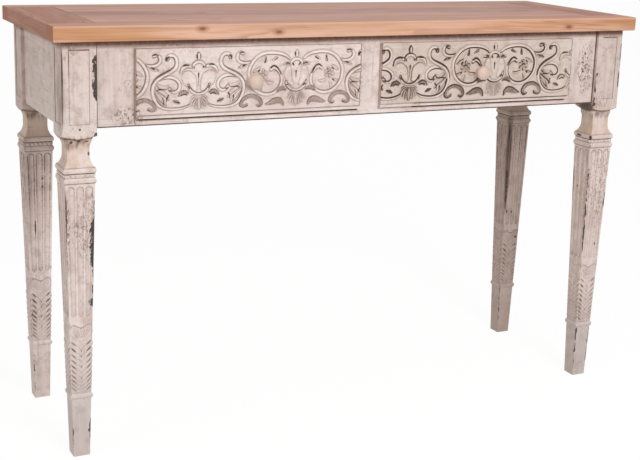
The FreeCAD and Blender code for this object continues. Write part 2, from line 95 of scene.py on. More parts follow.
# %% [markdown]
# The camera stands to the left of the table, a little above its top, and turns slightly.
# We write its place, the way it looks and its focal length in pixels of the picture, then turn
# them into Blender's lens length and lens shift. Three axes make the camera's matrix.

# %% Camera
IMAGE_WIDTH = 640
IMAGE_HEIGHT = 460
CAMERA_PLACE = Vector((-1.1081, -2.2433, 1.0016))
CAMERA_YAW = 0.4563
CAMERA_PITCH = 0.2331
CAMERA_ROLL = 0.0320
FOCAL_PIXELS = 1262.7
CENTRE_PIXEL = (322.3, 195.5)
SENSOR = 36.0


def camera_axes(yaw, pitch, roll):
    """The camera's right, up and backward directions."""
    level = Vector((math.cos(yaw), -math.sin(yaw), 0.0))
    ahead = Vector((math.sin(yaw), math.cos(yaw), 0.0))
    forward = ahead * math.cos(pitch) - Vector((0.0, 0.0, math.sin(pitch)))
    upright = level.cross(forward)
    right = level * math.cos(roll) + upright * math.sin(roll)
    up = upright * math.cos(roll) - level * math.sin(roll)
    return right, up, -forward


lens = bpy.data.cameras.new("camera")
lens.sensor_width = SENSOR
lens.lens = FOCAL_PIXELS / IMAGE_WIDTH * SENSOR
lens.shift_x = (IMAGE_WIDTH / 2 - CENTRE_PIXEL[0]) / IMAGE_WIDTH
lens.shift_y = (CENTRE_PIXEL[1] - IMAGE_HEIGHT / 2) / IMAGE_WIDTH
camera = bpy.data.objects.new("camera", lens)
camera_turn = Matrix(camera_axes(CAMERA_YAW, CAMERA_PITCH, CAMERA_ROLL)).transposed().to_4x4()
camera.matrix_world = Matrix.Translation(CAMERA_PLACE) @ camera_turn
bpy.context.scene.collection.objects.link(camera)
bpy.context.scene.camera = camera
print("lens:", round(lens.lens, 2), "shift", round(lens.shift_x, 4), round(lens.shift_y, 4))

# %% [markdown]
# Shader maths reads best as Python expressions, so one small class wraps a node's output.
# Adding or multiplying two of them adds a Math node, and the reflected forms make 1 - mask work.
# Every other node comes from the method called node, which sets its settings before its sockets.

# %% Shader expressions
class Wire:
    """One output of a shader node. Arithmetic on it adds the nodes that do it."""

    def __init__(self, tree, socket):
        self.tree = tree
        self.socket = socket

    def node(self, kind, settings=None, inputs=None, output=0):
        """Adds a node with these settings, and numbers or wires on its sockets."""
        made = self.tree.nodes.new("ShaderNode" + kind)
        for name, value in (settings or {}).items():
            setattr(made, name, value)
        for key, value in (inputs or {}).items():
            if isinstance(value, Wire):
                self.tree.links.new(value.socket, made.inputs[key])
            else:
                made.inputs[key].default_value = value
        return Wire(self.tree, made.outputs[output])

    def maths(self, operation, first, second):
        return self.node("Math", {"operation": operation}, {0: first, 1: second})

    def __add__(self, other):
        return self.maths("ADD", self, other)

    def __sub__(self, other):
        return self.maths("SUBTRACT", self, other)

    def __rsub__(self, other):
        return self.maths("SUBTRACT", other, self)

    def __mul__(self, other):
        return self.maths("MULTIPLY", self, other)

    def __truediv__(self, other):
        return self.maths("DIVIDE", self, other)

    def __abs__(self):
        return self.maths("ABSOLUTE", self, 0.0)

    __radd__ = __add__
    __rmul__ = __mul__

    def least(self, other):
        return self.maths("MINIMUM", self, other)

    def most(self, other):
        return self.maths("MAXIMUM", self, other)

    def between(self, low, high):
        """0 below low, 1 above high, and a smooth rise from one to the other."""
        settings = {"interpolation_type": "SMOOTHSTEP"}
        return self.node("MapRange", settings, {"Value": self, "From Min": low, "From Max": high})

    def below(self, low, high):
        """1 below low, 0 above high, and a smooth fall from one to the other."""
        return 1 - self.between(low, high)

    def root(self):
        return self.maths("SQRT", self, 0.0)

    def part(self, axis):
        return self.node("SeparateXYZ", None, {0: self}, axis)

    def stretched(self, factors):
        return self.node("VectorMath", {"operation": "MULTIPLY"}, {0: self, 1: factors})

    def shifted(self, offset):
        return self.node("VectorMath", {"operation": "ADD"}, {0: self, 1: offset})

    def noise(self, scale, detail=3.0, roughness=0.55, distortion=0.0):
        inputs = {"Vector": self, "Scale": scale, "Detail": detail}
        inputs.update({"Roughness": roughness, "Distortion": distortion})
        return self.node("TexNoise", None, inputs)

    def blend(self, first, second):
        """One colour that turns into another as this share rises from 0 to 1."""
        return self.node("Mix", {"data_type": "RGBA"}, {0: self, 6: first, 7: second}, 2)

    def under(self, colour, share):
        """This colour with another laid over it by that share."""
        return share.blend(self, colour)

    def into(self, shader, name):
        self.tree.links.new(self.socket, shader.inputs[name])

    def bumps(self, shader, strength, depth):
        """Lets this height tilt a shader's surface, as a bump."""
        inputs = {"Strength": strength, "Distance": depth, "Height": self}
        self.node("Bump", None, inputs).into(shader, "Normal")


def new_finish(name):
    """A material, its shader, and its Object coordinates as a wire."""
    material = bpy.data.materials.new(name)
    material.use_nodes = True
    tree = material.node_tree
    place = Wire(tree, tree.nodes.new("ShaderNodeTexCoord").outputs["Object"])
    return material, tree.nodes["Principled BSDF"], place


def tone(red, green, blue):
    """A colour as a screen shows it, from 0 to 255, turned into the linear values that light uses."""
    shares = [value / 255 for value in (red, green, blue)]
    return (*[v / 12.92 if v < 0.04045 else ((v + 0.055) / 1.055) ** 2.4 for v in shares], 1.0)


print("shader expressions ready")

# %% [markdown]
# The paint is a cream chalk paint, brushed on along the wood, then rubbed with a brown glaze and
# knocked about on purpose. From the wood outwards there are dark wood, paint, a thin brown wash, brush
# streaks, glaze that stays in corners, small specks, and chips along the arrises. A mask decides where
# each shows. The masks come from noise on Object coordinates, so they stay on the wood from every side.
# An Ambient Occlusion node finds the corners that hold glaze.

# %% Paint: its colours
CREAM = tone(231, 216, 210)
BLUSH = tone(221, 202, 194)
CHALK = tone(238, 229, 225)
WASH = tone(180, 159, 148)
STREAK = tone(164, 143, 132)
GLAZE = tone(140, 114, 98)
VARNISH = tone(188, 172, 142)
ASH = tone(176, 169, 168)
TAN = tone(212, 182, 156)
BLOTCH = tone(126, 98, 82)
RUN = tone(104, 77, 61)
SPECK = tone(62, 46, 37)
BARE_DARK = tone(50, 37, 31)
# A band under the top's overhang: painted shadow of the top, with some brown stain.
UNDER_TOP_SHADE_AND_STAIN = tone(102, 61, 32)
UNDER_TOP_SHADE_FROM = 736.5 * MM
UNDER_TOP_SHADE_TO = 747.5 * MM
print("a cream of", [round(v, 3) for v in CREAM[:3]], "in linear light")

# %% [markdown]
# Noise alone wears every place alike, and a real table is worn where hands, mops and feet reach it. The
# larger marks are listed one by one: clusters of specks, chipped arrises, dark drips and brown bands. Each
# is an egg shape, given by its centre and its three radii in millimetres, and a strength.

# %% Paint: the places that are most worn
SPECKLED_SPOTS = (
    ((500, -167, 675), (28, 30, 66), 1.25),
    ((-465, -167, 620), (42, 30, 26), 1),
    ((540, -173, 606), (32, 30, 20), 0.8),
    ((560, -160, 430), (50, 40, 130), 0.7),
    ((-548, -166, 425), (26, 20, 85), 0.7),
    ((-576, -167, 420), (9, 12, 95), 1),
    ((-530, -168, 474), (12, 12, 30), 1),
    ((-575, -173, 735), (30, 30, 20), 0.7),
)
CHIPPED_ARRISES = (
    ((-523, -173, 690), (20, 20, 46), 1.08),
    ((-526, -171, 592), (12, 12, 6), 1),
    ((-531, -166, 398), (18, 20, 54), 1),
    ((-529, -168, 462), (10, 10, 24), 0.4),
    ((-533, -165, 325), (10, 12, 40), 0.58),
    ((-577, -167, 430), (5, 6, 85), 0.38),
    ((-533, -164, 292), (10, 12, 9), 0.95),
    ((-537, -159, 52), (6, 8, 26), 0.56),
    ((-570, -159, 30), (6, 8, 34), 0.36),
    ((-570, 137, 60), (8, 10, 55), 0.44),
    ((527, -173, 645), (8, 12, 26), 0.62),
    ((525, -173, 606), (7, 10, 12), 0.62),
    ((583, -173, 700), (6, 8, 30), 0.6),
    ((583, -173, 650), (6, 8, 22), 0.6),
    ((522, -171, 530), (6, 8, 7), 0.95),
    ((530, -165, 385), (5, 6, 150), 0.58),
    ((577, -166, 395), (6, 8, 20), 0.62),
    ((537, -159, 70), (6, 8, 60), 0.42),
    ((570, -159, 70), (6, 6, 50), 0.58),
    ((527, 126, 470), (7, 10, 40), 0.5),
    ((530, 129, 360), (7, 10, 50), 0.66),
    ((537, 137, 70), (6, 8, 55), 0.46),
)
DARK_DRIPS = (
    ((-553, -173, 603), (3.2, 8, 3.2), 1),
    ((-566, -168, 580), (4.2, 10, 4.5), 0.9),
    ((-554, -168, 582), (4.6, 10, 3.8), 0.9),
    ((-540, -168, 581), (5, 10, 3), 0.8),
    ((-535, -162, 559), (3.5, 6, 5), 0.9),
    ((524, -132, 530), (8, 12, 3.6), 1),
    ((564, -165, 297), (4.5, 8, 7), 0.9),
    ((538, 132, 299), (5, 14, 6.5), 0.9),
    ((551, 132, 297), (4.5, 14, 5.5), 0.9),
    ((-562, 131, 357), (2.6, 14, 26), 0.75),
    ((-547, 130, 453), (3.4, 14, 5), 0.7),
    ((-547, 130, 437), (3.4, 14, 5), 0.7),
    ((529, -132, 464), (14, 3.6, 6), 0.75),
    ((529, -135, 420), (14, 3.4, 5), 0.7),
    ((566, 130, 236), (6, 10, 4), 0.9),
)
BROWN_BANDS = (
    ((-583, -158, 655), (14, 34, 80), 0.4),
    ((-583, -173, 675), (3.5, 3.5, 85), 2),
    ((-578, -168, 440), (3, 3, 85), 1.7),
    ((-570, -165, 578), (28, 24, 16), 0.4),
    ((553, -165, 580), (34, 24, 14), 0.3),
    ((523, -150, 592), (12, 30, 16), 1.2),
    ((527, 127, 405), (16, 18, 150), 2),
    ((-576, 130, 450), (26, 26, 120), 0.26),
    ((528.5, -118.5, 420), (3.5, 3.5, 55), 1.7),
    ((-566, 128, 580), (22, 20, 16), 0.55),
)


def soft_spot(place, centre, radii, core):
    """1 inside the core of an egg of these radii, fading to 0 at its skin."""
    reach = place.shifted([-v * MM for v in centre]).stretched([1 / (r * MM) for r in radii])
    length = reach.node("VectorMath", {"operation": "LENGTH"}, {0: reach}, 1)
    return length.below(core, 1.0)


def worn(place, spots, least=0.0, core=0.35):
    """The strongest of several soft spots, each a centre, radii and a strength."""
    for centre, radii, strength in spots:
        least = (soft_spot(place, centre, radii, core) * strength).most(least)
    return least


print("marks placed by hand:", len(SPECKLED_SPOTS + CHIPPED_ARRISES + DARK_DRIPS + BROWN_BANDS))

# %% [markdown]
# Glaze also settles along the rims of the flutes. Three flutes share a face with four lands of equal
# width between and beside them, so the rims' places follow from the leg's half width. A flute ends in
# half circles, so past its straight part we measure from the middle of the half circle.

# %% Paint: rims of the flutes
FLUTES = 3
FLUTE_LAND = 4.5
FLUTE_FOOT = 267.0
FLUTE_HEAD = 503.0
RIM_FADE = (0.30, 1.15)
SHOULDER = (0.580, 0.592)


def leg_measures(place):
    """In mm: distance from the face's middle, half the leg's width, and distance from the leg's axis."""
    across = abs(abs(place.part(0)) - leg_x)
    along = abs(abs(place.part(1) - stand_middle) - leg_reach)
    height = place.part(2)
    shaft = height * (SHAFT_SPREAD / CAPITAL_FOOT) + FOOT_HALF
    half = shaft + height.between(*SHOULDER) * (block_half - shaft)
    from_axis = (across * across + along * along).root()
    return across.least(along) / MM, half / MM, from_axis / MM


def flute_rims(place, from_middle, half):
    """Thin lines along the rims of a leg's flutes."""
    flute = (half * 2.0 - (FLUTES + 1) * FLUTE_LAND) / FLUTES
    radius = flute * 0.5
    height = place.part(2) / MM
    past_end = (height - FLUTE_HEAD + radius).most(FLUTE_FOOT + radius - height).most(0.0)
    lines = 0.0
    for step in (0, 1):
        across = from_middle - (flute + FLUTE_LAND) * step
        rim = abs((across * across + past_end * past_end).root() - radius)
        lines = rim.below(*RIM_FADE).most(lines)
    return lines


print("flutes run from", FLUTE_FOOT, "to", FLUTE_HEAD, "mm")

# %% [markdown]
# Glaze sits under the mouldings of the capital. Along the shoulder, which rises to the block's corners,
# glaze and painted shade lie under the block. Painted shade and glaze also draw the upper and outer edges
# of the sunk panel on the front of each block.

# %% Paint: lines of the capital, the shoulder and the block
CAPITAL_LINES = ((525.6, 1.25), (508.2, 1.0), (535.7, 0.6))
CAPITAL_FADE = (0.4, 1.4)
SHOULDER_FOOT = 586.0
SHOULDER_SLOPE = 0.40
SHOULDER_FADE = (0.5, 1.7)
PANEL_HALF = 17.4
PANEL_TOP = 737.8
PANEL_FOOT = 612.0
PANEL_DARKER = (685.0, 697.0)


def turned_lines(place, from_axis):
    """Painted shade and glaze along the shoulder under a block, and glaze under the mouldings of the
    capital.
    """
    height = place.part(2) / MM
    # The shoulder under the block gets painted shade and glaze.
    shoulder = abs(height - SHOULDER_FOOT - (from_axis - block_half / MM) * SHOULDER_SLOPE)
    lines = shoulder.below(*SHOULDER_FADE)
    for level, strength in CAPITAL_LINES:
        lines = (abs(height - level).below(*CAPITAL_FADE) * strength).most(lines)
    return lines


def block_panel_shade_lines(place, facing):
    """Painted shade and glaze along the outer edge and the top of a block's front panel, fainter on the
    right.
    """
    outward = (abs(place.part(0)) - leg_x) / MM
    height = place.part(2) / MM
    side = abs(outward - PANEL_HALF).below(0.6, 1.6)
    side = side * height.between(PANEL_FOOT, PANEL_FOOT + 4) * height.below(PANEL_TOP, PANEL_TOP + 1.5)
    side = side * (0.45 + height.between(*PANEL_DARKER) * 0.55)
    side = side * (1 - place.part(0).between(-0.1, 0.1) * 0.7)
    top = abs(height - PANEL_TOP).below(0.8, 2.0) * abs(outward).below(PANEL_HALF - 0.4, PANEL_HALF + 1.1)
    return side.most(top) * (0 - facing.part(1)).between(0.8, 0.95)


print("glaze lines on a capital:", len(CAPITAL_LINES))

# %% [markdown]
# The paint holds more of the brown wash in some places than in others, so it is darker to the right, low on
# the feet and on the legs behind, where it is painted shade. Thin dark lines of painted shadow and glaze
# run along the drawers' lower edges, and glaze runs round their frame, with painted shade where it meets
# the legs.

# %% Paint: brown wash with painted shade, and painted shadow lines along the drawers
DARKER_RIGHT = (-0.10, 0.55)
# Painted shadows, with some glaze: on the rail under the drawers' proud lips, and under the carved panels'
# lower edges.
LIP_SHADOW_LINE = (616.2, 6.2, 1.0)
PANEL_SHADOW_LINE = (623.4, 3.8, 0.55)
DRAWER_INNER = 22.0 * MM
DRAWER_OUTER = 455.0 * MM
FRAME_FOOT = 603.0 * MM
FRAME_END = 523.0 * MM


def wash_and_shade_share(place, on_legs):
    """How much more brown wash the paint holds; on the legs behind it stands for painted shade."""
    x, y, height = [place.part(axis) for axis in range(3)]
    if not on_legs:
        return x.between(*DARKER_RIGHT) * 0.20 + x.below(-0.50, -0.40) * 0.24
    # The legs behind get more wash as painted shade.
    behind = y.between(0.0, 0.1)
    masks = {
        "upper back left leg": (x.below(-0.5, -0.2) * behind * height.between(0.34, 0.48), 0.30),
        "front right leg": (x.between(0.4, 0.5) * y.below(-0.1, 0.1), 0.14),
        "back right leg": (x.between(0.2, 0.5) * behind, 0.68),
        "necks": (height.between(0.530, 0.545) * height.below(0.580, 0.600), 0.08),
        "feet": (height.below(0.06, 0.13), 0.20),
        "blocks": (height.between(0.585, 0.600), 0.25),
    }
    dirt = 0.0
    for mask, share in masks.values():
        dirt = mask * share + dirt
    return dirt


def painted_shadow_line(place, top, depth, left_share):
    """A thin level line of painted shadow and glaze along a drawer, dark at its top edge and fading
    downwards.
    """
    fallen = (top * MM - place.part(2)) / (depth * MM)
    out = abs(place.part(0))
    span = out.between(DRAWER_INNER - MM, DRAWER_INNER) * out.below(DRAWER_OUTER - 6 * MM, DRAWER_OUTER)
    on_left = place.part(0).below(-0.01, 0.01)
    held = place.part(0).between(0.085, 0.100).most(0.35).most(on_left * left_share)
    return fallen.between(-0.1, 0.05) * fallen.below(0.40, 1.0) * span * held


def frame_lines(place):
    """Glaze along the foot of the drawer frame, and glaze with painted shade where it meets the legs."""
    foot = place.part(2).below(FRAME_FOOT + 1.2 * MM, FRAME_FOOT + 3.0 * MM)
    # Where the frame meets the legs: glaze and painted shade in the corner.
    return foot.most(abs(place.part(0)).between(FRAME_END - 3.6 * MM, FRAME_END - 2.0 * MM))


print("drawer lines at", LIP_SHADOW_LINE[0], "and", PANEL_SHADOW_LINE[0], "mm")

# %% [markdown]
# The first layers are the brushed coat. Each layer is one line: the colour so far, a new tone, and the
# share of it that shows. Six noises of different sizes break up every layer, so that none looks printed.

# %% Paint: the brushed coat
def paint_noises(place, streak_ways):
    """The noises that break up the layers, by name."""
    return SimpleNamespace(
        cloud=place.noise(9.0, 3.0),
        mottle=place.shifted((0.4, 2.3, 5.1)).noise(48.0, 6.0, 0.62),
        streaks=place.stretched(streak_ways).noise(1.0, 5.0, 0.62),
        fine=place.noise(420.0, 3.0),
        ragged=place.noise(150.0, 4.0, 0.65),
        patchy=place.shifted((3.1, 1.7, 0.4)).noise(16.0, 2.0),
    )


def brushed_coat(place, noises, on_legs):
    """Cream paint with its brush streaks and brown wash, partly painted shade; ashen feet in front and
    tanned necks.
    """
    colour = noises.cloud.between(0.35, 0.65).blend(CREAM, BLUSH)
    colour = colour.under(CHALK, noises.streaks.between(0.52, 0.72) * 0.55)
    wash = noises.mottle.between(0.46, 0.72) * 0.55 + noises.fine.between(0.50, 0.72) * 0.25
    colour = colour.under(WASH, (wash + wash_and_shade_share(place, on_legs)).least(1.0))
    colour = colour.under(STREAK, (1 - noises.streaks).between(0.53, 0.74) * 0.50)
    if not on_legs:
        return colour
    height = place.part(2)
    front_foot = height.below(0.10, 0.22) * place.part(1).below(-0.1, 0.1)
    colour = colour.under(ASH, front_foot * (0.20 + noises.mottle * 0.30))
    neck = height.between(0.528, 0.542) * height.below(0.584, 0.600)
    tanned = noises.patchy.between(0.30, 0.62) * 0.25 + noises.mottle.between(0.38, 0.62) * 0.45
    return colour.under(TAN, neck * tanned)


print("brushed coat ready: cream, blush, chalk, wash and streaks")

# %% [markdown]
# Glaze is wiped off the flats and stays in corners and in every line above. The sides of the drawer fronts
# are darkened by glaze and painted shade. Where a piece is carved, its own attribute says how much glaze
# each point holds. It is below 0 on crests that were rubbed pale and have a painted highlight. The right
# drawer also has an old yellow varnish.

# %% Paint: glaze
CORNER_REACH = 9.0 * MM


def leg_glaze(place, noises, facing):
    """Glaze along the flutes, mouldings and panels of a leg, with painted shade on the legs behind."""
    height = place.part(2)
    from_middle, half, from_axis = leg_measures(place)
    # The flute rims are stronger on the legs behind, partly as painted shade.
    behind = place.part(1).between(-0.1, 0.1) * (0.5 + height.between(0.36, 0.46) * 0.9)
    held = (0.52 + height.between(0.485, 0.498) * 0.4).most(behind)
    broken = (noises.ragged * 0.4 + noises.patchy * 0.3 + noises.fine * 0.3).between(0.38, 0.56)
    glaze = flute_rims(place, from_middle, half) * held * (0.12 + broken * 0.88)
    glaze = glaze.most(turned_lines(place, from_axis) * (0.35 + noises.ragged * 0.9))
    return glaze.most(block_panel_shade_lines(place, facing) * (0.55 + noises.ragged * 0.6))


def held_glaze(place, noises, facing, on_legs, side_stain_and_shade, line, framed):
    """The share of glaze that corners, ends and lines hold, with painted shade on the drawers' sides and
    lines.
    """
    ragged = noises.ragged
    settings = {"samples": 8, "only_local": True}
    openness = place.node("AmbientOcclusion", settings, {"Distance": CORNER_REACH}, 1)
    glaze = (1 - openness).between(0.12, 0.50) * (0.45 + ragged * 0.7)
    # The sides of the drawer fronts are darkened: glaze and painted shade.
    if side_stain_and_shade:
        glaze = glaze.most(abs(facing.part(0)).between(0.7, 0.95) * side_stain_and_shade * (0.6 + ragged * 0.6))
    # Painted shadow lines under the drawers, with some glaze.
    if line:
        glaze = glaze.most(painted_shadow_line(place, *line) * (0.70 + ragged * 0.8))
    if framed:
        glaze = glaze.most(frame_lines(place) * (0.75 + ragged * 0.7))
    if on_legs:
        glaze = glaze.most(leg_glaze(place, noises, facing))
    return glaze


def carved_layers(place, noises, facing, on_legs, colour, glaze):
    """Pale crests, rubbed and with a painted highlight, and glazed grooves, as the carving's attribute
    says.
    """
    groove = place.node("Attribute", {"attribute_name": "glaze"}, None, 2)
    if not on_legs:
        varnish = place.part(0).between(-0.02, 0.06) * (0.10 + noises.patchy * 0.24)
        colour = colour.under(VARNISH, varnish)
    # Crests rubbed pale, with a painted highlight.
    colour = colour.under(CHALK, (0 - groove).between(0.05, 0.4) * 0.40)
    if on_legs:
        groove = groove * (1 - abs(facing.part(0)).between(0.5, 0.9) * 0.40)
    return colour, glaze.most(groove * (0.35 + noises.patchy * 0.5 + noises.ragged * 0.5))


print("corners hold glaze within", CORNER_REACH, "m")

# %% [markdown]
# Last come the marks of use. Specks stand in clusters and leave small pits. The legs also have brown bands,
# runs and drips, and chips along their arrises. A chip is ragged noise that grows strong near the arris
# and in the places chosen above, and a few islands of paint are left inside it.

# %% Paint: specks and chips
def speckled(place, noises, colour):
    """Chalky and brown specks in clusters, and how deep they are pitted."""
    clusters = worn(place, SPECKLED_SPOTS, noises.patchy.between(0.52, 0.76) * 0.5)
    upright = place.stretched((1.0, 1.0, 0.6))
    chalk = upright.shifted((1.0, 0.0, 0.0)).noise(230.0, 2.0).between(0.60, 0.68)
    blotches = upright.noise(230.0, 3.0, 0.6).between(0.53, 0.60) * clusters
    specks = upright.noise(380.0, 2.0, 0.5).between(0.59, 0.65) * clusters
    colour = colour.under(CHALK, chalk * clusters * 0.35)
    colour = colour.under(BLOTCH, blotches * 0.75)
    colour = colour.under(SPECK, specks * 0.75)
    return colour, specks * 0.5 + blotches * 0.3


def stained_legs(place, noises, colour):
    """Brown bands, runs under the blocks and dark drips."""
    height = place.part(2)
    between_streaks = 1 - noises.streaks
    band = worn(place, BROWN_BANDS) * (0.2 + noises.mottle * 1.3)
    colour = colour.under(RUN, band.least(0.92))
    colour = colour.under(SPECK, (band * between_streaks.between(0.47, 0.60) * 0.75).least(0.85))
    runs = height.between(0.560, 0.578) * height.below(0.586, 0.594)
    colour = colour.under(RUN, runs * between_streaks.between(0.45, 0.65) * 0.6)
    drips = worn(place, DARK_DRIPS) + noises.ragged * 0.6 + noises.fine * 0.5
    return colour.under(SPECK, drips.between(0.98, 1.14) * 0.92)


def chipped(place, noises):
    """Where a leg's arrises are chipped down to the wood."""
    bite = place.stretched((120.0, 120.0, 48.0)).noise(1.0, 5.0, 0.7) * 0.95
    bite = bite + place.stretched((420.0, 420.0, 170.0)).noise(1.0, 3.0, 0.6) * 0.45
    wear = worn(place, CHIPPED_ARRISES, noises.patchy.between(0.50, 0.76) * 0.30, 0.7)
    from_middle, half = leg_measures(place)[:2]
    chips = (bite + wear * 0.45 - (half - from_middle) * 0.046).between(0.86, 0.90)
    left_paint = place.shifted((2.0, 0.0, 0.0)).noise(310.0, 2.0).between(0.67, 0.72)
    return chips * (1 - left_paint)


print("specks, stains and chips ready")

# %% [markdown]
# One function lays all the layers from the wood outwards, and makes every version of the paint. The
# streaks run along each board, and only the pieces that have lines, carving or arrises pay for them.

# %% Paint: every version of it
PAINT_BUMP = (0.45, 0.5 * MM)


def painted(name, streak_ways, on_legs=False, carved=False, side_stain_and_shade=0.0, line=None, framed=False):
    """Distressed paint with its brush streaks drawn out as streak_ways says."""
    material, shader, place = new_finish(name)
    noises = paint_noises(place, streak_ways)
    facing = place.node("NewGeometry", None, None, 1)
    colour = brushed_coat(place, noises, on_legs)
    glaze = held_glaze(place, noises, facing, on_legs, side_stain_and_shade, line, framed)
    if carved:
        colour, glaze = carved_layers(place, noises, facing, on_legs, colour, glaze)
    colour = colour.under(GLAZE, glaze.least(1.0))
    colour = colour.under(SPECK, glaze.between(0.65, 1.15))
    # Under the top's overhang the paint gets a painted shadow, with some brown stain.
    under_top_shade = place.part(2).between(UNDER_TOP_SHADE_FROM, UNDER_TOP_SHADE_TO)
    colour = colour.under(UNDER_TOP_SHADE_AND_STAIN, (under_top_shade * (0.65 + noises.ragged * 0.5)).least(0.94))
    colour, pits = speckled(place, noises, colour)
    relief = noises.streaks * 0.45 + noises.mottle * 0.3 + noises.fine * 0.15 - pits
    rough = 0.52 + noises.streaks * 0.16
    if on_legs:
        chips = chipped(place, noises)
        colour = stained_legs(place, noises, colour)
        colour = colour.under(BARE_DARK, chips * (0.82 + noises.fine * 0.3).least(1.0))
        relief = relief - chips * 0.9
        rough = rough + chips * 0.12
    colour.into(shader, "Base Color")
    rough.into(shader, "Roughness")
    relief.bumps(shader, *PAINT_BUMP)
    return material


UPRIGHT_STREAKS = (190.0, 190.0, 10.0)
LENGTHWISE_STREAKS = (10.0, 190.0, 190.0)
CROSSWISE_STREAKS = (190.0, 10.0, 190.0)
leg_paint = painted("leg_paint", UPRIGHT_STREAKS, on_legs=True)
upright_paint = painted("upright_paint", UPRIGHT_STREAKS, framed=True)
rail_paint = painted("rail_paint", LENGTHWISE_STREAKS, line=LIP_SHADOW_LINE, framed=True)
back_paint = painted("back_paint", LENGTHWISE_STREAKS)
side_paint = painted("side_paint", CROSSWISE_STREAKS)
drawer_paint = painted("drawer_paint", LENGTHWISE_STREAKS, side_stain_and_shade=0.6, line=PANEL_SHADOW_LINE)
carving_paint = painted("carving_paint", LENGTHWISE_STREAKS, carved=True, side_stain_and_shade=0.6)
leaf_paint = painted("leaf_paint", UPRIGHT_STREAKS, on_legs=True, carved=True)
print("paints:", [m.name for m in bpy.data.materials if "paint" in m.name])

# %% [markdown]
# The top is oiled pine. Pine shows broad pale early wood and narrow dark late wood, drawn out along
# each board. We stretch noise along the board for the streaks, bend a set of bands for the late wood,
# and set a few knots where the front edge has them. Each board gets its own tone, as boards do. The long
# boards are lighter in their middle, a painted pool of light, and darker to the right, painted shade. All
# end grain is darker, and the end boards' faces that look along x are darker as painted shade. The edge
# boards' upper faces take the field's tone as a painted sheen, and their top arris is pale with wear and a
# painted highlight.

# %% Pine
PINE_KNOT = (112, 68, 44)
EDGE_TONES = ((219, 174, 147), (198, 144, 104), (160, 105, 74))
FIELD_TONES = ((222, 174, 158), (208, 160, 142), (172, 124, 110))
INNER_TONES = ((208, 163, 148), (190, 143, 127), (154, 111, 98))
END_TONES = ((200, 151, 129), (182, 131, 110), (149, 104, 87))
PINE_LIT_MIDDLE = (220, 180, 164)
END_SHADE = (0.90, 0.35)
LATE_BANDS = 9.0
TOP_ARRIS_HIGHLIGHT = (774.5 * MM, 778.5 * MM)
FRONT_KNOTS = ((-0.340, 0.7720), (-0.196, 0.7640), (0.434, 0.7630))
KNOT_LENGTH = 9.0 * MM
KNOT_HEIGHT = 4.5 * MM
PINE_BUMP = (0.25, 0.4 * MM)


def along_grain(grain_axis, along, across):
    """Noise scales for a board whose grain runs along one axis."""
    scales = [across, across, across]
    scales[grain_axis] = along
    return scales


def pine(name, grain_axis, tones, shift, knots=()):
    """Oiled pine with its grain along one axis, 0 for x and 1 for y."""
    material, shader, place = new_finish(name)
    pale, warm, dark = [tone(*t) for t in tones]
    moved = place.shifted((shift, shift * 0.7, shift * 0.3))
    broad = moved.stretched(along_grain(grain_axis, 1.3, 26.0)).noise(1.0, 3.0, 0.5, 0.6) * LATE_BANDS
    bands = broad.maths("FRACT", broad, 0.0)
    late = bands.between(0.45, 0.92) * bands.below(0.93, 1.0)
    fibres = moved.stretched(along_grain(grain_axis, 8.0, 420.0)).noise(1.0, 4.0, 0.6)
    cloud = moved.stretched(along_grain(grain_axis, 3.0, 20.0)).noise(1.0, 3.0)
    colour = cloud.between(0.36, 0.62).blend(pale, warm)
    colour = colour.under(dark, late * 0.50)
    colour = colour.under(dark, fibres.between(0.48, 0.74) * 0.50)
    facing = place.node("NewGeometry", None, None, 1)
    # Faces that look along x are darker: end grain on the long boards, and painted shade on the end boards.
    colour = colour.under(dark, abs(facing.part(0)).between(0.7, 0.9) * END_SHADE[grain_axis])
    if grain_axis == 0:
        # The long boards: lighter in the middle, a painted pool of light, and darker to the right, painted
        # shade.
        colour = colour.under(tone(*PINE_LIT_MIDDLE), abs(place.part(0)).below(0.15, 0.45) * 0.28)
        colour = colour.under(dark, place.part(0).between(0.36, 0.60) * 0.25)
    if tones is EDGE_TONES:
        # The edge boards' upper faces take the field's tone, as a painted sheen.
        colour = colour.under(tone(*FIELD_TONES[1]), facing.part(2).between(0.7, 0.9) * 0.6)
    # A pale line along the top arris: wear and a painted highlight.
    arris = place.part(2).between(*TOP_ARRIS_HIGHLIGHT) * abs(facing.part(1)).between(0.2, 0.6)
    colour = colour.under(pale, arris * 0.7)
    rings = late
    for x, z in knots:
        dx = (place.part(0) - x) / KNOT_LENGTH
        dz = (place.part(2) - z) / KNOT_HEIGHT
        away = dx * dx + dz * dz
        colour = colour.under(dark, away.below(0.2, 3.4) * 0.55)
        colour = colour.under(tone(*PINE_KNOT), away.below(0.05, 0.80) * 0.7)
        rings = rings.most(away.below(0.05, 0.4))
    colour.into(shader, "Base Color")
    shader.inputs["Specular IOR Level"].default_value = 0.25
    (0.50 + fibres * 0.16 + cloud * 0.08).into(shader, "Roughness")
    (fibres * 0.4 - rings * 0.5).bumps(shader, *PINE_BUMP)
    return material


BOARDS = {
    "top_front_board": (0, EDGE_TONES, 0.0),
    "top_back_board": (0, EDGE_TONES, 4.1),
    "top_left_end_board": (1, END_TONES, 1.3),
    "top_right_end_board": (1, END_TONES, 2.2),
    "top_field_board_1": (0, FIELD_TONES, 3.4),
    "top_field_board_2": (0, INNER_TONES, 5.2),
    "top_field_board_3": (0, FIELD_TONES, 6.7),
}
top_finishes = {}
for board, (axis, tones, shift) in BOARDS.items():
    knots = FRONT_KNOTS if board == "top_front_board" else ()
    top_finishes[board] = pine("pine_" + board, axis, tones, shift, knots)
print("pine boards:", len(top_finishes))

# %% [markdown]
# What the paint hides is plain: drawer boxes and runners of bare wood, plywood bottoms, steel screws
# and turned knobs. They show when a drawer is pulled out, so each gets its own finish too.

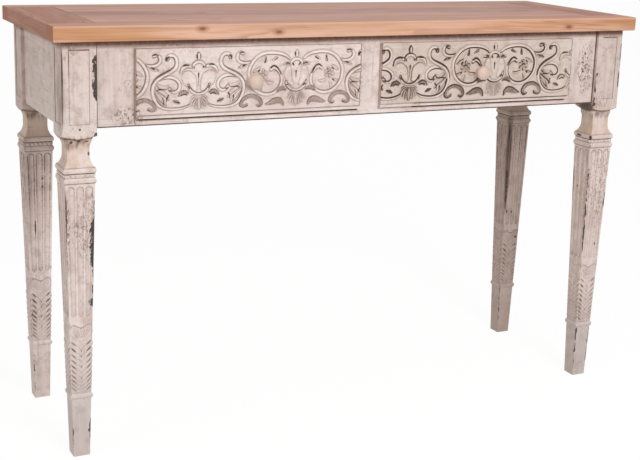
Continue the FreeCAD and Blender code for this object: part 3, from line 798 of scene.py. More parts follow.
# %% Bare wood, plywood, knob paint and steel
def bare_wood(name, grain_ways, pale, dark):
    """Plain wood with its fibres drawn out as grain_ways says."""
    material, shader, place = new_finish(name)
    fibres = place.stretched(grain_ways).noise(1.0, 5.0, 0.6, 0.4)
    cloud = place.noise(12.0, 2.0)
    colour = fibres.between(0.35, 0.7).blend(pale, dark)
    colour = colour.under(dark, cloud.between(0.45, 0.8) * 0.35)
    colour.into(shader, "Base Color")
    (0.62 + fibres * 0.2).into(shader, "Roughness")
    fibres.bumps(shader, 0.3, 0.3 * MM)
    return material


def knob_finish():
    """Smooth cream paint with a few specks."""
    material, shader, place = new_finish("knob_paint")
    cloud = place.noise(90.0, 3.0)
    specks = place.noise(700.0, 2.0).between(0.66, 0.72)
    colour = cloud.blend(tone(216, 194, 178), tone(198, 173, 155))
    colour = colour.under(SPECK, specks * 0.5)
    colour.into(shader, "Base Color")
    (0.40 + cloud * 0.15).into(shader, "Roughness")
    cloud.bumps(shader, 0.2, 0.3 * MM)
    return material


def steel_finish():
    """Plain steel with fine scratches."""
    material, shader, place = new_finish("steel")
    scratches = place.stretched((2600.0, 2600.0, 300.0)).noise(1.0, 3.0)
    scratches.blend(tone(176, 174, 168), tone(120, 117, 110)).into(shader, "Base Color")
    shader.inputs["Metallic"].default_value = 1.0
    (0.28 + scratches * 0.25).into(shader, "Roughness")
    return material


LENGTHWISE_GRAIN = (12.0, 260.0, 260.0)
CROSSWISE_GRAIN = (260.0, 12.0, 260.0)
BARE_PALE = tone(214, 184, 146)
BARE_MID = tone(186, 150, 110)
PLY_PALE = tone(220, 196, 160)
PLY_MID = tone(196, 166, 128)
bare_lengthwise = bare_wood("bare_wood_lengthwise", LENGTHWISE_GRAIN, BARE_PALE, BARE_MID)
bare_crosswise = bare_wood("bare_wood_crosswise", CROSSWISE_GRAIN, BARE_PALE, BARE_MID)
plywood = bare_wood("plywood", CROSSWISE_GRAIN, PLY_PALE, PLY_MID)
knob_paint = knob_finish()
steel = steel_finish()
print("hidden finishes: bare wood two ways, plywood, knob paint, steel")

# %% [markdown]
# Now each board of the frame gets its finish, by a part of its name. The first rule that fits wins.

# %% Give the frame its finishes
FINISH_RULES = (
    ("screw", steel),
    ("nails", steel),
    ("drawer_knob", knob_paint),
    ("drawer_front", drawer_paint),
    ("carved_panel", carving_paint),
    ("drawer_bottom", plywood),
    ("drawer_back", bare_lengthwise),
    ("drawer_", bare_crosswise),
    ("runner", bare_crosswise),
    ("guide", bare_crosswise),
    ("kicker", bare_crosswise),
    ("leg_", leg_paint),
    ("stile", upright_paint),
    ("rail", rail_paint),
    ("apron_back", back_paint),
    ("apron", side_paint),
)
for name, board in nodes.items():
    finish = top_finishes.get(name) or next(f for word, f in FINISH_RULES if word in name)
    for material_slot in board.material_slots:
        material_slot.material = finish
print("finished boards:", len(nodes))

# %% [markdown]
# Carving is a matter of heights over a flat ground. A carver draws strokes: a scroll is a long stroke
# with a rounded back, a leaf is a short fat one with a vein. A stroke is a smooth line through a few given
# points, each with its half width, and we find every ground point's distance from that line. A gouge cuts
# round each stroke, and the groove keeps the brown glaze. The groove is darker on the hollow side of a
# scroll: on the left as the stroke runs, and on the right where it bends back. The crest of a stroke is
# rubbed pale and has a painted highlight. Later strokes lie over earlier ones. A gouge mark is a short dark
# cut.
# The same strokes carve the drawers and the legs.

# %% Strokes of carving
SPINE_STEP = 0.8
GROOVE_REACH = 2.2
CREST_RUB_HIGHLIGHT = 0.35
VEIN_HALF = 0.6
HATCH_PITCH = 2.9


def smooth_spine(points):
    """A smooth line through points of (place, height, half width), as many close rows."""
    knots = np.array(points, float)
    padded = np.vstack([2 * knots[0] - knots[1], knots, 2 * knots[-1] - knots[-2]])
    rows = []
    for before, start, end, after in zip(padded, padded[1:], padded[2:], padded[3:]):
        count = max(2, int(np.linalg.norm(end[:2] - start[:2]) / SPINE_STEP))
        t = np.arange(count)[:, None] / count
        bend = 2 * before - 5 * start + 4 * end - after
        twist = 3 * start - before - 3 * end + after
        rows.append(0.5 * (2 * start + (end - before) * t + bend * t**2 + twist * t**3))
    rows.append(knots[-1:])
    return np.vstack(rows)


class Ground:
    """Points of a flat ground in millimetres, each with its carved level and its glaze."""

    def __init__(self, place, height, groove_half=0.85, faint=0.55, hatch_glaze=1.0):
        self.groove_half = groove_half
        self.faint = faint
        self.hatch_glaze = hatch_glaze
        self.place = place
        self.height = height
        self.level = np.zeros(len(place))
        self.glaze = np.zeros(len(place))

    def near(self, spine, margin):
        """Ground points within a margin of a line's skin, with their row of it, gap and half width."""
        reach = spine[:, 2].max() + margin
        low = spine[:, :2].min(0) - reach
        high = spine[:, :2].max(0) + reach
        boxed = (self.place > low[0]) & (self.place < high[0])
        chosen = np.flatnonzero(boxed & (self.height > low[1]) & (self.height < high[1]))
        if not len(chosen):
            return chosen, chosen, np.zeros(0), np.zeros(0)
        away = (self.place[chosen, None] - spine[:, 0]) ** 2
        away += (self.height[chosen, None] - spine[:, 1]) ** 2
        row = away.argmin(1)
        gap = np.sqrt(away[np.arange(len(chosen)), row])
        half = spine[row, 2]
        inside = gap - half < margin
        return chosen[inside], row[inside], gap[inside], half[inside]

    def hollow_hand(self, spine, chosen, row, swap_below):
        """1 on the line's left as it runs, a faint share on its right, and the other way below a height."""
        run = np.gradient(spine[:, :2], axis=0)[row]
        across = self.place[chosen] - spine[row, 0]
        up = self.height[chosen] - spine[row, 1]
        on_left = run[:, 0] * up - run[:, 1] * across > 0
        return np.where(on_left != (self.height[chosen] < swap_below), 1.0, self.faint)

    def stroke(self, points, lift=1.9, groove=1.0, vein=0.0, hatch=0.0, dark=1.0, swap_below=-1.0):
        """Raises a rounded stroke with a groove round it, and a vein or slanting cuts along it."""
        spine = smooth_spine(points)
        chosen, row, gap, half = self.near(spine, GROOVE_REACH)
        outside = gap - half
        crown = lift * np.sqrt(np.clip(1 - (gap / half) ** 4, 0, 1))
        cut = np.exp(-(((outside - 0.2) / self.groove_half) ** 2))
        level = crown - groove * cut
        glaze = dark * cut * self.hollow_hand(spine, chosen, row, swap_below)
        slender = np.clip(3.6 / half - 0.3, 0, 1)
        # Crests are rubbed pale and carry a painted highlight.
        glaze = glaze - CREST_RUB_HIGHLIGHT * np.clip(1 - (gap / half) ** 2, 0, 1) * slender
        if vein:
            line = np.exp(-((gap / VEIN_HALF) ** 2)) * (half > 2 * VEIN_HALF)
            level = level - vein * line
            glaze = np.maximum(glaze, 0.7 * dark * line)
        if hatch:
            waves = np.cos(2 * np.pi * (row * SPINE_STEP / HATCH_PITCH + 0.25 * gap))
            marks = (0.60 + 0.40 * np.clip(waves, 0, 1)) * (outside < -0.4)
            level = level - hatch * marks
            glaze = np.maximum(glaze, self.hatch_glaze * marks)
        t = np.clip((GROOVE_REACH - outside) / (GROOVE_REACH - 0.9), 0, 1)
        share = t * t * (3 - 2 * t)
        self.level[chosen] += share * (level - self.level[chosen])
        self.glaze[chosen] += share * (glaze - self.glaze[chosen])

    def tint(self, centre, radii, amount):
        """Leaves a soft brown film of glaze round a place."""
        away = ((self.place - centre[0]) / radii[0]) ** 2 + ((self.height - centre[1]) / radii[1]) ** 2
        film = amount * np.clip(1.3 - away, 0, 1)
        self.glaze = np.where(film > 0, np.maximum(self.glaze, film), self.glaze)

    def gouge(self, points, depth=0.9, dark=1.5):
        """Sinks a short cut that holds dark glaze."""
        chosen, row, gap, half = self.near(smooth_spine(points), 0.3)
        share = np.clip(1.3 - gap / half, 0, 1)
        self.level[chosen] -= depth * share
        self.glaze[chosen] = np.maximum(self.glaze[chosen], dark * share)


short_leaf = smooth_spine([(0, 0, 1), (5, 4, 2), (12, 5, 1)])
print("a stroke through three points has", len(short_leaf), "rows")

# %% [markdown]
# The drawers carry a running scroll, as friezes have had since antiquity. It mirrors about two
# upright motifs that take turns: a wide tulip and a narrow one. Between them a crook flows into a
# leafy scroll, and a hook flows into a ring with a rosette inside. Under them runs a row of waves.
# Points are (distance from the wide tulip, height over the panel's foot, half width), in millimetres.

# %% The scroll frieze: long strokes
HALF_PERIOD = 187.0
CROOK = (
    (58.5, 100.0, 2.6), (56.5, 104.8, 3.0), (51.0, 107.2, 2.8), (44.5, 104.5, 2.9), (41.0, 97.0, 3.0),
    (42.0, 88.0, 3.1), (48.0, 81.0, 3.1), (57.0, 76.5, 3.1), (67.5, 71.5, 3.1), (77.0, 65.0, 3.0),
    (83.0, 56.0, 3.0), (84.5, 46.0, 3.0), (82.0, 34.0, 3.0), (76.0, 23.0, 2.9), (66.0, 15.0, 2.8),
    (52.0, 11.5, 2.6), (37.0, 12.0, 2.3), (24.0, 15.5, 1.8), (17.0, 20.0, 1.0),
)
CROOK_CUT = (
    (46.5, 87.5, 0.8), (52.0, 82.6, 1.6), (58.4, 79.4, 2.2), (69.1, 74.3, 2.4), (79.3, 67.3, 2.1),
    (86.0, 57.2, 1.0),
)
VOLUTE = (
    (79.0, 61.5, 1.6), (70.0, 67.0, 2.5), (57.5, 69.4, 2.7), (44.5, 66.5, 2.8), (36.5, 58.0, 2.8),
    (37.0, 48.0, 2.7), (44.5, 42.8, 2.5), (52.0, 45.0, 2.2), (54.0, 48.5, 2.6),
)
HOOK = (
    (82.5, 106.5, 2.8), (77.0, 108.0, 2.3), (72.0, 104.0, 2.6), (71.5, 98.0, 2.8), (75.0, 92.5, 2.8),
    (83.0, 89.5, 2.6), (93.0, 89.5, 2.2), (99.0, 91.5, 1.6),
)
RING = (
    (173.5, 95.0, 1.6), (165.5, 101.0, 2.4), (153.5, 105.0, 2.8), (138.5, 106.5, 2.9), (123.5, 105.0, 3.0),
    (110.5, 99.0, 3.0), (100.5, 89.0, 3.0), (94.5, 77.0, 3.0), (94.0, 65.0, 3.0), (97.5, 52.0, 3.0),
    (105.5, 41.0, 3.0), (116.5, 33.8, 3.0), (129.5, 31.2, 2.9), (142.5, 34.0, 2.8), (152.5, 42.0, 2.7),
    (158.0, 54.0, 2.6), (157.0, 66.0, 2.4), (150.5, 75.0, 2.4), (142.5, 79.0, 2.4), (137.0, 76.0, 2.8),
)
ARCHED_WAVE = (
    (91.0, 14.0, 1.8), (85.5, 10.0, 2.6), (80.0, 13.5, 2.8), (84.0, 23.5, 2.9), (94.0, 29.0, 3.1),
    (104.5, 28.5, 3.3), (113.5, 24.0, 3.5), (118.0, 16.0, 3.2), (115.0, 9.8, 2.4), (110.5, 11.5, 1.6),
)
COMMA_WAVE = (
    (128.5, 13.0, 1.4), (136.0, 15.0, 4.0), (145.0, 18.5, 5.6), (153.0, 19.5, 5.2), (159.0, 16.0, 3.6),
    (162.0, 9.5, 1.2),
)


def carve_scrolls(ground):
    """The long strokes, from the lowest to the one that lies over the others."""
    ground.stroke(VOLUTE)
    ground.stroke(CROOK, 2.1, swap_below=46.0)
    ground.stroke(HOOK)
    ground.stroke(RING, 2.1)
    ground.stroke(ARCHED_WAVE, hatch=0.5)
    ground.stroke(COMMA_WAVE, 1.8, hatch=0.7)
    ground.gouge(CROOK_CUT, 0.5, 0.9)


print("the ring is drawn through", len(RING), "points")

# %% [markdown]
# Leaves fill the scrolls, and a rosette of six petals fills each ring. A tulip has petals, a cup, a bud
# above it and a tuft of leaves below. It is drawn for one side only, since the frieze mirrors about it.

# %% The scroll frieze: leaves, rosette and tulips
SCROLL_LEAVES = (
    ((78.0, 58.0, 1.2), (70.0, 52.5, 2.6), (61.0, 51.0, 2.6), (56.5, 54.0, 1.0)),
    ((80.0, 51.0, 1.2), (70.0, 45.0, 2.8), (61.0, 38.5, 2.8), (55.0, 30.0, 1.0)),
    ((80.0, 44.0, 1.2), (73.0, 36.0, 2.8), (66.0, 28.0, 2.6), (60.0, 19.5, 1.0)),
    ((79.0, 36.0, 1.2), (75.0, 28.0, 2.4), (69.0, 21.0, 2.2), (61.0, 16.5, 0.9)),
    ((36.5, 23.0, 1.2), (41.0, 25.0, 2.9), (46.5, 27.0, 1.0)),
    ((75.0, 81.0, 1.0), (81.0, 83.5, 2.6), (87.0, 85.5, 2.2), (91.0, 86.5, 0.8)),
)
RING_LEAVES = (
    ((103.0, 52.0, 1.0), (108.0, 52.5, 2.0), (114.0, 55.5, 1.0)),
    ((103.0, 72.0, 1.0), (109.5, 76.0, 2.6), (116.0, 80.5, 0.9)),
    ((127.0, 56.0, 1.0), (134.0, 52.0, 2.8), (142.0, 53.0, 1.0)),
    ((120.0, 49.0, 1.0), (117.0, 45.0, 2.2), (118.0, 40.0, 0.9)),
    ((127.0, 98.5, 1.2), (126.5, 91.0, 2.3)),
    ((140.5, 92.5, 1.0), (148.0, 97.0, 2.3)),
)
ROSETTE = (121.0, 67.0)
ROSETTE_PETALS = 6


def carve_leaves(ground):
    """Leaves of the scrolls and the rings, and the rosette."""
    for leaf in SCROLL_LEAVES:
        ground.stroke(leaf, 1.7, 1.0, vein=0.5)
    for leaf in RING_LEAVES:
        ground.stroke(leaf, 1.7, 1.0, vein=0.5, dark=0.6)
    x, z = ROSETTE
    for turn in range(ROSETTE_PETALS):
        angle = 2 * math.pi * (turn + 0.3) / ROSETTE_PETALS
        way = Vector((math.cos(angle), math.sin(angle)))
        petal = [(x + reach * way.x, z + reach * way.y, half) for reach, half in ((3, 1.2), (7.5, 3.0))]
        ground.stroke(petal, 1.6, vein=0.4, dark=0.7)
    ground.stroke(((x - 0.4, z, 2.4), (x + 0.4, z, 2.4)), 2.2)
    ground.tint(ROSETTE, (13.0, 10.0), 0.32)


TULIP_STROKES = (
    (((0.0, 109.5, 1.6), (0.0, 105.0, 3.2), (0.0, 99.5, 2.4)), 2.4, 1.0),
    (((0.0, 37.5, 2.2), (8.0, 39.3, 2.2), (15.0, 44.0, 2.2), (19.5, 51.0, 1.9), (20.0, 54.5, 1.2)),
     2.2, 1.0),
    (((0.0, 94.5, 2.6), (5.0, 93.5, 2.6), (9.5, 89.5, 2.2), (11.0, 84.0, 1.2)), 2.2, 0.8),
)
TULIP_LEAF = ((21.0, 40.0, 1.6), (27.0, 42.0, 3.2), (33.0, 40.0, 2.8), (37.0, 36.0, 1.0))
WIDE_TULIP = (
    (((8.0, 48.0, 5.0), (13.0, 56.0, 10.5), (18.0, 64.0, 13.0), (21.0, 68.0, 11.5)), 1.9, 0.45),
    (((12.0, 84.5, 1.6), (17.0, 87.0, 2.7), (24.0, 87.4, 3.0), (31.0, 83.0, 2.6), (34.5, 75.0, 1.2)),
     2.6, 0.7),
)
NARROW_TULIP = (
    (((8.0, 49.0, 3.0), (14.0, 58.0, 6.0), (16.5, 68.0, 7.5), (15.5, 77.0, 5.0)), 2.0, 0.35),
    (((11.0, 84.5, 1.2), (17.0, 87.0, 2.6), (25.0, 85.0, 1.0)), 2.3, 0.8),
)
WIDE_MARKS = (
    ((8.0, 83.0, 0.9), (9.5, 86.0, 1.5)),
    ((18.5, 88.5, 1.0), (24.0, 89.5, 1.6), (29.0, 88.0, 1.0)),
    ((0.0, 74.0, 1.7), (0.0, 67.0, 1.1)),
    ((0.0, 65.0, 0.7), (0.0, 52.0, 0.6)),
    ((18.0, 48.0, 1.0), (20.0, 52.0, 1.6)),
    ((2.6, 101.0, 0.8), (3.2, 106.0, 1.3)),
)
NARROW_MARKS = (
    ((14.0, 86.0, 1.1), (17.5, 87.6, 1.9), (21.0, 86.6, 1.1)),
    ((4.6, 82.5, 0.9), (6.2, 85.5, 1.9), (8.0, 87.5, 1.0)),
    ((0.0, 61.0, 0.7), (0.0, 67.0, 1.0), (0.0, 72.5, 1.7)),
    ((14.5, 46.5, 0.9), (17.0, 49.0, 1.4), (19.5, 47.5, 0.9)),
    ((2.6, 101.0, 0.8), (3.2, 106.0, 1.3)),
)
TUFT_TOP = 34.0
TUFT_FINGERS = ((78.0, 15.0), (56.0, 18.5), (34.0, 22.0), (15.0, 24.5), (0.0, 26.5))


def carve_tulip(ground, axis, way, petals, marks, tuft_dark):
    """An upright motif about this axis; way is 1 where the frieze runs on from it and -1 where it ends."""

    def drawn(points):
        return [(axis + way * x, z, half) for x, z, half in points]

    for angle, length in TUFT_FINGERS:
        lean = math.radians(angle)
        points = []
        for share, half in ((0.15, 1.6), (0.55, 3.4), (0.95, 1.5)):
            across = share * length * math.sin(lean)
            points.append((axis + way * across, TUFT_TOP - share * length * math.cos(lean), half))
        ground.stroke(points, 1.7, 1.0, vein=0.5, dark=tuft_dark)
    for points, lift, dark in petals + TULIP_STROKES:
        ground.stroke(drawn(points), lift, dark=dark)
    ground.stroke(drawn(TULIP_LEAF), 2.0, hatch=0.4)
    ground.tint((axis, 22.0), (25.0, 18.0), 0.26)
    for points in marks:
        ground.gouge(drawn(points))


print("a tuft has", 2 * len(TUFT_FINGERS) - 1, "leaves")

# %% [markdown]
# The carver's last tool is a narrow gouge. It leaves short deep marks where a leaf turns over, in the
# eyes of the scrolls and round the rosette, and these marks are the darkest spots of the frieze.

# %% The scroll frieze: gouge marks
SCROLL_MARKS = (
    ((36.5, 23.5, 1.2), (41.0, 25.2, 1.9), (46.0, 26.5, 1.0)),
    ((50.5, 44.5, 1.2), (54.5, 46.5, 1.5)),
    ((62.0, 47.5, 0.9), (73.0, 48.5, 1.3), (76.0, 46.0, 0.9)),
    ((55.5, 38.0, 1.4), (58.5, 33.0, 1.5), (59.0, 27.0, 0.9)),
    ((66.0, 33.0, 1.2), (64.0, 22.0, 0.9)),
    ((81.0, 83.5, 1.1), (84.0, 85.2, 1.9), (87.0, 86.5, 1.1)),
    ((56.0, 104.5, 1.5), (59.5, 102.0, 2.5), (60.5, 98.0, 1.4)),
    ((75.0, 107.0, 1.1), (79.0, 109.0, 1.5), (84.0, 108.0, 1.2)),
    ((22.0, 37.0, 0.9), (28.0, 38.5, 1.3), (33.0, 36.0, 0.9)),
    ((90.0, 9.5, 1.0), (92.5, 11.0, 1.2)),
    ((113.0, 9.0, 1.1), (116.0, 10.5, 1.1)),
)
RING_MARKS = (
    ((127.5, 98.0, 1.4), (125.5, 89.0, 1.7)),
    ((144.0, 93.5, 1.0), (149.5, 97.0, 1.4)),
    ((137.0, 79.5, 1.4), (143.0, 83.0, 1.8), (150.0, 79.5, 1.7), (157.0, 68.0, 1.2)),
    ((112.0, 73.0, 1.0), (114.5, 75.0, 1.5)),
    ((123.0, 73.0, 0.9), (125.0, 75.0, 1.2)),
    ((111.0, 52.0, 1.0), (113.5, 54.5, 1.4)),
)


def carve_frieze(ground):
    """The whole frieze, over ground that is folded into its first half period."""
    carve_leaves(ground)
    carve_scrolls(ground)
    carve_tulip(ground, 0.0, 1, WIDE_TULIP, WIDE_MARKS, 0.55)
    carve_tulip(ground, HALF_PERIOD, -1, NARROW_TULIP, NARROW_MARKS, 0.45)
    for points in SCROLL_MARKS + RING_MARKS:
        ground.gouge(points)


TRIAL_POINTS = 800
TRIAL_HEIGHT = 66.0
trial = Ground(np.linspace(0, HALF_PERIOD, TRIAL_POINTS), np.full(TRIAL_POINTS, TRIAL_HEIGHT))
carve_frieze(trial)
lowest, highest = trial.level.min().round(2), trial.level.max().round(2)
print("a cut across the frieze at", TRIAL_HEIGHT, "mm runs from", lowest, "to", highest)

# %% [markdown]
# A carved panel starts as a fine grid standing on the drawer front. Each grid point is folded into the
# first half period, so that the frieze mirrors and repeats, and the panel shows whatever part of it
# falls there, cut off at the panel's ends as on the real table. The grid's rim is then drawn back to
# the drawer front. A round boss stays under the knob, which needs a flat seat.

# %% Carved drawer panels
GRID_STEP = 0.72
GROUND_SHARE = 0.50
FIRST_TULIP = {"left": 113.3, "right": 59.3}
FRIEZE_PITCH = {"left": 1.0, "right": 0.9825}
FRIEZE_DROP = {"left": 3.2, "right": 1.4}
WIDE_DROP = 0.7
FAINT_SIDE = {"left": 0.42, "right": 0.26}
HATCH_GLAZE = {"left": 1.02, "right": 0.62}
GLAZE_HELD = {"left": 1.20, "right": 2.30}
GLAZE_FILM = {"left": 0.10, "right": 0.20}
GROOVE_WIDTH = {"left": 1.00, "right": 1.75}
FADED_END = {"left": 0.0, "right": 0.40}
KNOB_SEAT = 10.5
EDGE_ROLL = 1.4
RIGHT_EDGE = 2.5
RIGHT_EDGE_GLAZE = 0.9
HAND_WANDER = 0.5


def linked(bm, name, material):
    """A finished bmesh as an object of the scene."""
    mesh = bpy.data.meshes.new(name)
    bm.to_mesh(mesh)
    bm.free()
    mesh.materials.append(material)
    made = bpy.data.objects.new(name, mesh)
    bpy.context.scene.collection.objects.link(made)
    return made


def new_piece(bm, name, body, material):
    """A finished bmesh as a piece that rides a body of the frame."""
    piece = linked(bm, name, material)
    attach(piece, body)
    return piece


def smooth(bm):
    """Shades all faces so far as one curved surface."""
    for face in bm.faces:
        face.smooth = True


def closed_behind(bm, move):
    """Draws the open rim out, moves the new corners, closes them with one face and returns them."""
    rim = [e for e in bm.edges if e.is_boundary]
    drawn = bmesh.ops.extrude_edge_only(bm, edges=rim)["geom"]
    corners = [g for g in drawn if isinstance(g, bmesh.types.BMVert)]
    bmesh.ops.transform(bm, matrix=move, verts=corners)
    open_edges = [g for g in drawn if isinstance(g, bmesh.types.BMEdge) and g.is_boundary]
    bmesh.ops.contextual_create(bm, geom=open_edges)
    return corners


def folded(distance):
    """Distance along the frieze, folded into its first half period."""
    place = np.mod(distance, 2 * HALF_PERIOD)
    return np.where(place > HALF_PERIOD, 2 * HALF_PERIOD - place, place)


def panel_levels(side, across, height, width, tall, knob):
    """Carved level and glaze of a drawer panel, over points in millimetres from its lower left corner."""
    wander = HAND_WANDER * np.sin(across / 23.0 + height / 31.0)
    place = folded((across - FIRST_TULIP[side]) * FRIEZE_PITCH[side] + wander)
    wide = np.clip((100.0 - place) / 15.0, 0, 1)
    drop = np.minimum(FRIEZE_DROP[side] + WIDE_DROP * wide, 0.25 * height)
    drawn = height + drop + HAND_WANDER * np.sin(across / 37.0)
    ground = Ground(place, drawn, GROOVE_WIDTH[side], FAINT_SIDE[side], HATCH_GLAZE[side])
    carve_frieze(ground)
    # Below 0 on crests: rubbed pale, with a painted highlight.
    rubbed = np.minimum(ground.glaze, 0)
    film = GLAZE_FILM[side] * np.clip(1 + 2.5 * rubbed, 0, 1)
    ground.glaze = np.maximum(ground.glaze * GLAZE_HELD[side], rubbed + film)
    ground.glaze *= 1 - FADED_END[side] * np.clip((across - width + 80.0) / 45.0, 0, 1)
    rim = np.minimum(np.minimum(across, width - across), np.minimum(height, tall - height))
    roll = np.clip(1 - rim / EDGE_ROLL, 0, 1) ** 2
    ground.level -= 0.9 * roll
    ground.glaze = np.where(width - across < RIGHT_EDGE, RIGHT_EDGE_GLAZE, ground.glaze)
    seat = np.hypot(across - knob[0], height - knob[1])
    share = np.clip((KNOB_SEAT + 1.5 - seat) / 1.5, 0, 1)
    return ground, share


def carved_panel(side):
    """One drawer's panel as a closed piece that takes the plain board's place."""
    node = side + "_drawer_carved_panel"
    low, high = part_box(node)
    knob_low, knob_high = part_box(side + "_drawer_knob")
    width = (high.x - low.x) / MM
    tall = (high.z - low.z) / MM
    thick = (high.y - low.y) / MM
    knob = (((knob_low.x + knob_high.x) / 2 - low.x) / MM, ((knob_low.z + knob_high.z) / 2 - low.z) / MM)
    bm = bmesh.new()
    columns = round(width / GRID_STEP)
    rows = round(tall / GRID_STEP)
    bmesh.ops.create_grid(bm, x_segments=columns, y_segments=rows, size=0.5)
    stand_up = Matrix.Translation(((low.x + high.x) / 2, high.y, (low.z + high.z) / 2))
    stand_up = stand_up @ Matrix.Rotation(math.pi / 2, 4, "X")
    stand_up = stand_up @ Matrix.Diagonal((width * MM, tall * MM, 1, 1))
    bmesh.ops.transform(bm, matrix=stand_up, verts=bm.verts)
    points = np.array([v.co for v in bm.verts])
    across = (points[:, 0] - low.x) / MM
    height = (points[:, 2] - low.z) / MM
    ground, seat = panel_levels(side, across, height, width, tall, knob)
    level = np.clip(GROUND_SHARE * thick + ground.level, 0.8, thick)
    level += seat * (thick - level)
    glaze = bm.verts.layers.float.new("glaze")
    for v, up, dark in zip(bm.verts, level, ground.glaze * (1 - seat)):
        v.co.y = high.y - up * MM
        v[glaze] = dark
    smooth(bm)
    to_drawer = Matrix.Translation((0.0, high.y, 0.0)) @ Matrix.Diagonal((1, 0, 1, 1))
    closed_behind(bm, to_drawer)
    bmesh.ops.recalc_face_normals(bm, faces=bm.faces)
    piece = new_piece(bm, side + "_drawer_carving", side + "_drawer", carving_paint)
    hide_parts(node)
    return piece


for side in ("left", "right"):
    made = carved_panel(side)
    print(made.name, len(made.data.polygons), "faces")

# %% [markdown]
# Low on each leg a leaf climbs all four faces. It has dots up its middle, pairs of leaflets that rise
# outwards, and a heart with a scalloped edge at its top. It is a plate a millimetre thick that sits on the
# shaft's face and narrows with it. Where there is no leaf the plate sinks into the wood, so the leaf's
# own outline shows. We carve one face and turn it round the leg.

# %% Leaf carving on the legs
LEAF_FOOT = 123.0
LEAF_TOP = 256.0
LEAF_STEP = 0.85
LEAF_GROUND = 0.45
LEAF_SUNK = -0.6
LEAF_BACK = 1.2 * MM
LEAF_GLAZE = 0.60
LEAFLET_PAIRS = 10
FIRST_CUT = 131.5
CUT_RISE = 6.9
CUT_GROWTH = 0.29
HEART_FOOT = 220.0
HEART_DIP = 247.5
LEAF_FILM = 0.10
RIB_DOTS = (202.0, 192.0, 172.0, 150.0)


def leaf_edge(across):
    """Height of the heart's scalloped upper edge, which dips in the middle and falls to the arrises."""
    lobe = np.sin(np.pi / 2 * np.clip(across / 13.5, 0, 1)) ** 2
    fall = 0.24 * np.clip(across - 14.5, 0, None) ** 2
    return HEART_DIP + 6.0 * lobe + 0.5 * np.abs(np.sin(np.pi * across / 6.0)) - fall


def leaf_levels(across, height):
    """Level of the leaf over a face, with across folded about the face's middle."""
    ground = Ground(across, height)
    cuts = []
    for pair in range(LEAFLET_PAIRS):
        cut = FIRST_CUT + CUT_RISE * pair + CUT_GROWTH * pair * pair
        pitch = CUT_RISE + 2 * CUT_GROWTH * pair
        low = cut - pitch / 2
        leaflet = (
            (1.5, low - 11.5, 0.25 * pitch), (7.0, low - 6.5, 0.42 * pitch),
            (13.5, low, 0.42 * pitch), (18.5, low + 5.5, 0.22 * pitch),
        )
        ground.stroke(leaflet, 1.0, 0.7, vein=0.25)
        cuts.append(((9.5, cut - 3.5, 0.8), (13.5, cut, 0.17 * pitch), (17.5, cut + 4.5, 0.9)))
    heart = ((0.0, HEART_FOOT + 4.0, 3.5), (6.0, HEART_FOOT + 10.5, 7.0), (10.5, HEART_FOOT + 18.0, 9.0))
    ground.stroke(heart, 1.0, 0.9)
    for lean in (3.5, 8.5, 13.5):
        fold = ((lean * 0.5, HEART_FOOT + 9.0, 1.0), (lean, HEART_FOOT + 24.0, 1.6))
        ground.stroke(fold, 1.1, 0.4, dark=0.5)
    ground.glaze *= LEAF_GLAZE
    for pair, cut in enumerate(cuts):
        ground.gouge(cut, 0.6, 1.25 + 0.2 * math.sin(2.3 * pair + 2.0))
    for dot in RIB_DOTS:
        ground.gouge(((0.0, dot - 1.0, 0.9), (0.0, dot + 1.2, 1.3)), 0.4, 1.2)
    rim = leaf_edge(across) - height
    broken = 0.95 + 0.40 * np.sin(across * 1.9)
    ground.glaze = np.maximum(ground.glaze, broken * np.exp(-(((rim - 1.7) / 1.3) ** 2)))
    ground.glaze = np.maximum(ground.glaze, LEAF_FILM)
    return ground


def quarter_turn(axis, quarter):
    """Turns a face about its leg's axis, from the front of the leg to another side."""
    return Matrix.Translation((*axis, 0.0)) @ Matrix.Rotation(quarter * math.pi / 2, 4, "Z")


def leaf_plate(bm, axis, quarter):
    """One carved face of a leg, turned a number of quarter turns about the leg's axis."""
    columns = round(2 * shaft_half(LEAF_TOP * MM) / MM / LEAF_STEP)
    rows = round((LEAF_TOP - LEAF_FOOT) / LEAF_STEP)
    grid = bmesh.ops.create_grid(bm, x_segments=columns, y_segments=rows, size=0.5)["verts"]
    share = np.array([v.co for v in grid])
    height = LEAF_FOOT + (share[:, 1] + 0.5) * (LEAF_TOP - LEAF_FOOT)
    half = shaft_half(height * MM)
    across = share[:, 0] * 2 * half / MM
    ground = leaf_levels(np.abs(across), height)
    level = LEAF_GROUND + ground.level
    edge = leaf_edge(np.abs(across)) - height
    keep = np.clip(edge / 1.2, 0, 1) * np.clip((half / MM - np.abs(across)) / 1.0, 0, 1)
    level = LEAF_SUNK + keep * (np.clip(level, 0.08, 2.0) - LEAF_SUNK)
    glaze = bm.verts.layers.float["glaze"]
    for v, x, z, out, up, dark in zip(grid, across, height, half, level, ground.glaze):
        v.co = Vector((x * MM, -out - up * MM, z * MM))
        v[glaze] = dark
    inner = closed_behind(bm, Matrix.Translation((0.0, LEAF_BACK, 0.0)))
    bmesh.ops.transform(bm, matrix=quarter_turn(axis, quarter), verts=list(grid) + inner)


for name in LEG_NAMES:
    bm = bmesh.new()
    bm.verts.layers.float.new("glaze")
    for quarter in range(4):
        leaf_plate(bm, leg_axis(name), quarter)
    smooth(bm)
    bmesh.ops.recalc_face_normals(bm, faces=bm.faces)
    made = new_piece(bm, name + "_leaf", "table", leaf_paint)
    print(made.name, len(made.data.polygons), "faces")

# %% [markdown]
# Between the two mouldings of each capital runs a row of beads. A bead is a small ball pressed into
# the band, and there are six on a face. Balls this small need only a few faces.

# %% Bead rows on the capitals
BEADS_ON_A_FACE = 6
BEAD_PITCH = 8.3 * MM
BEAD_HALF = (3.7 * MM, 2.3 * MM, 3.6 * MM)
BEAD_BAND_HALF = 26.3 * MM
BEAD_HEIGHT = 522.0 * MM


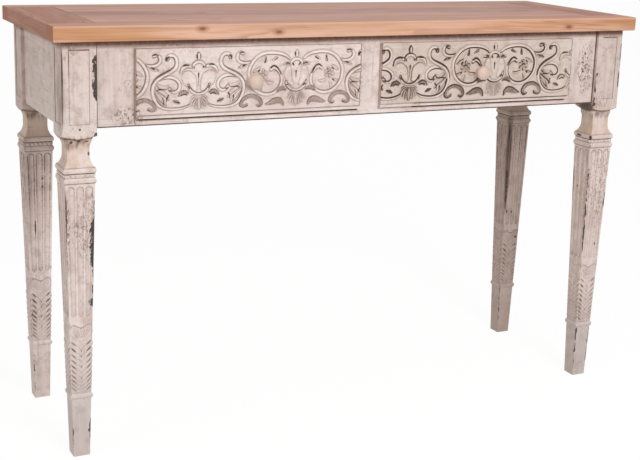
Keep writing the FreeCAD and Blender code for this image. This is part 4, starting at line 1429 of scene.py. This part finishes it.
def bead_row(bm, axis, quarter):
    """One face's beads, turned a number of quarter turns about the leg's axis."""
    turn = quarter_turn(axis, quarter)
    for place in range(BEADS_ON_A_FACE):
        across = (place - (BEADS_ON_A_FACE - 1) / 2) * BEAD_PITCH
        seat = Matrix.Translation((across, -BEAD_BAND_HALF, BEAD_HEIGHT)) @ Matrix.Diagonal((*BEAD_HALF, 1))
        bmesh.ops.create_icosphere(bm, subdivisions=2, radius=1.0, matrix=turn @ seat)


for name in LEG_NAMES:
    bm = bmesh.new()
    for quarter in range(4):
        bead_row(bm, leg_axis(name), quarter)
    smooth(bm)
    made = new_piece(bm, name + "_beads", "table", leg_paint)
    print(made.name, len(made.data.polygons), "faces")

# %% [markdown]
# The studio is a pale floor and a white surround. A camera ray sees them as white, and every other
# ray sees them at a plain level, so the white doesn't flood the object. The floor keeps a soft shadow.

# %% Studio floor and surround
FLOOR_HALF = 9.0
FLOOR_GLOW = 1.06
FLOOR_SHOWN = 0.88
SURROUND_LIGHT = 0.42


def floor_finish():
    """A pale floor that a camera sees as nearly white."""
    material, shader, place = new_finish("studio_floor")
    tree = material.node_tree
    shader.inputs["Base Color"].default_value = (0.80, 0.79, 0.78, 1.0)
    shader.inputs["Roughness"].default_value = 0.9
    path = place.node("LightPath")
    seen = path.most(Wire(tree, path.socket.node.outputs["Is Glossy Ray"]))
    glow = place.node("Emission", None, {"Color": (1.0, 1.0, 1.0, 1.0), "Strength": FLOOR_GLOW})
    both = place.node("MixShader", None, {0: seen * FLOOR_SHOWN, 1: Wire(tree, shader.outputs[0]), 2: glow})
    both.into(tree.nodes["Material Output"], "Surface")
    return material


floor_grid = bmesh.new()
bmesh.ops.create_grid(floor_grid, x_segments=2, y_segments=2, size=FLOOR_HALF)
floor = linked(floor_grid, "studio_floor", floor_finish())

world = bpy.data.worlds.new("surround")
world.use_nodes = True
bpy.context.scene.world = world
sky = world.node_tree.nodes["Background"]
sky.inputs["Color"].default_value = (1.0, 1.0, 1.0, 1.0)
ray = Wire(world.node_tree, world.node_tree.nodes.new("ShaderNodeLightPath").outputs["Is Camera Ray"])
glossy = Wire(world.node_tree, ray.socket.node.outputs["Is Glossy Ray"])
through = Wire(world.node_tree, ray.socket.node.outputs["Is Transmission Ray"])
(SURROUND_LIGHT + ray.most(glossy).most(through) * (1 - SURROUND_LIGHT)).into(sky, "Strength")
bpy.context.scene.view_settings.view_transform = "Standard"
print("studio ready")

# %% [markdown]
# Two large soft lamps: a key in front of the table and well above it, and a warm weak fill far to the
# left, so that both rows of legs get the same share of it. A lamp is its name, its place, what it looks
# at, its size, its watts and its hue.

# %% Lamps
LAMPS = (
    ("key", (0.10, -3.05, 2.0), (0.0, 0.0, 0.55), 1.1, 56.5, (0.98, 1.0, 1.03)),
    ("fill", (-9.0, -3.9, 3.2), (0.0, 0.0, 0.5), 5.0, 222.0, (1.0, 0.94, 0.88)),
)
for name, place, target, size, watts, hue in LAMPS:
    light = bpy.data.lights.new(name, "AREA")
    light.size = size
    light.energy = watts
    light.color = hue
    lamp = bpy.data.objects.new(name, light)
    lamp.location = place
    lamp.rotation_euler = (Vector(target) - Vector(place)).to_track_quat("-Z", "Y").to_euler()
    bpy.context.scene.collection.objects.link(lamp)
print("lamps:", len(LAMPS))
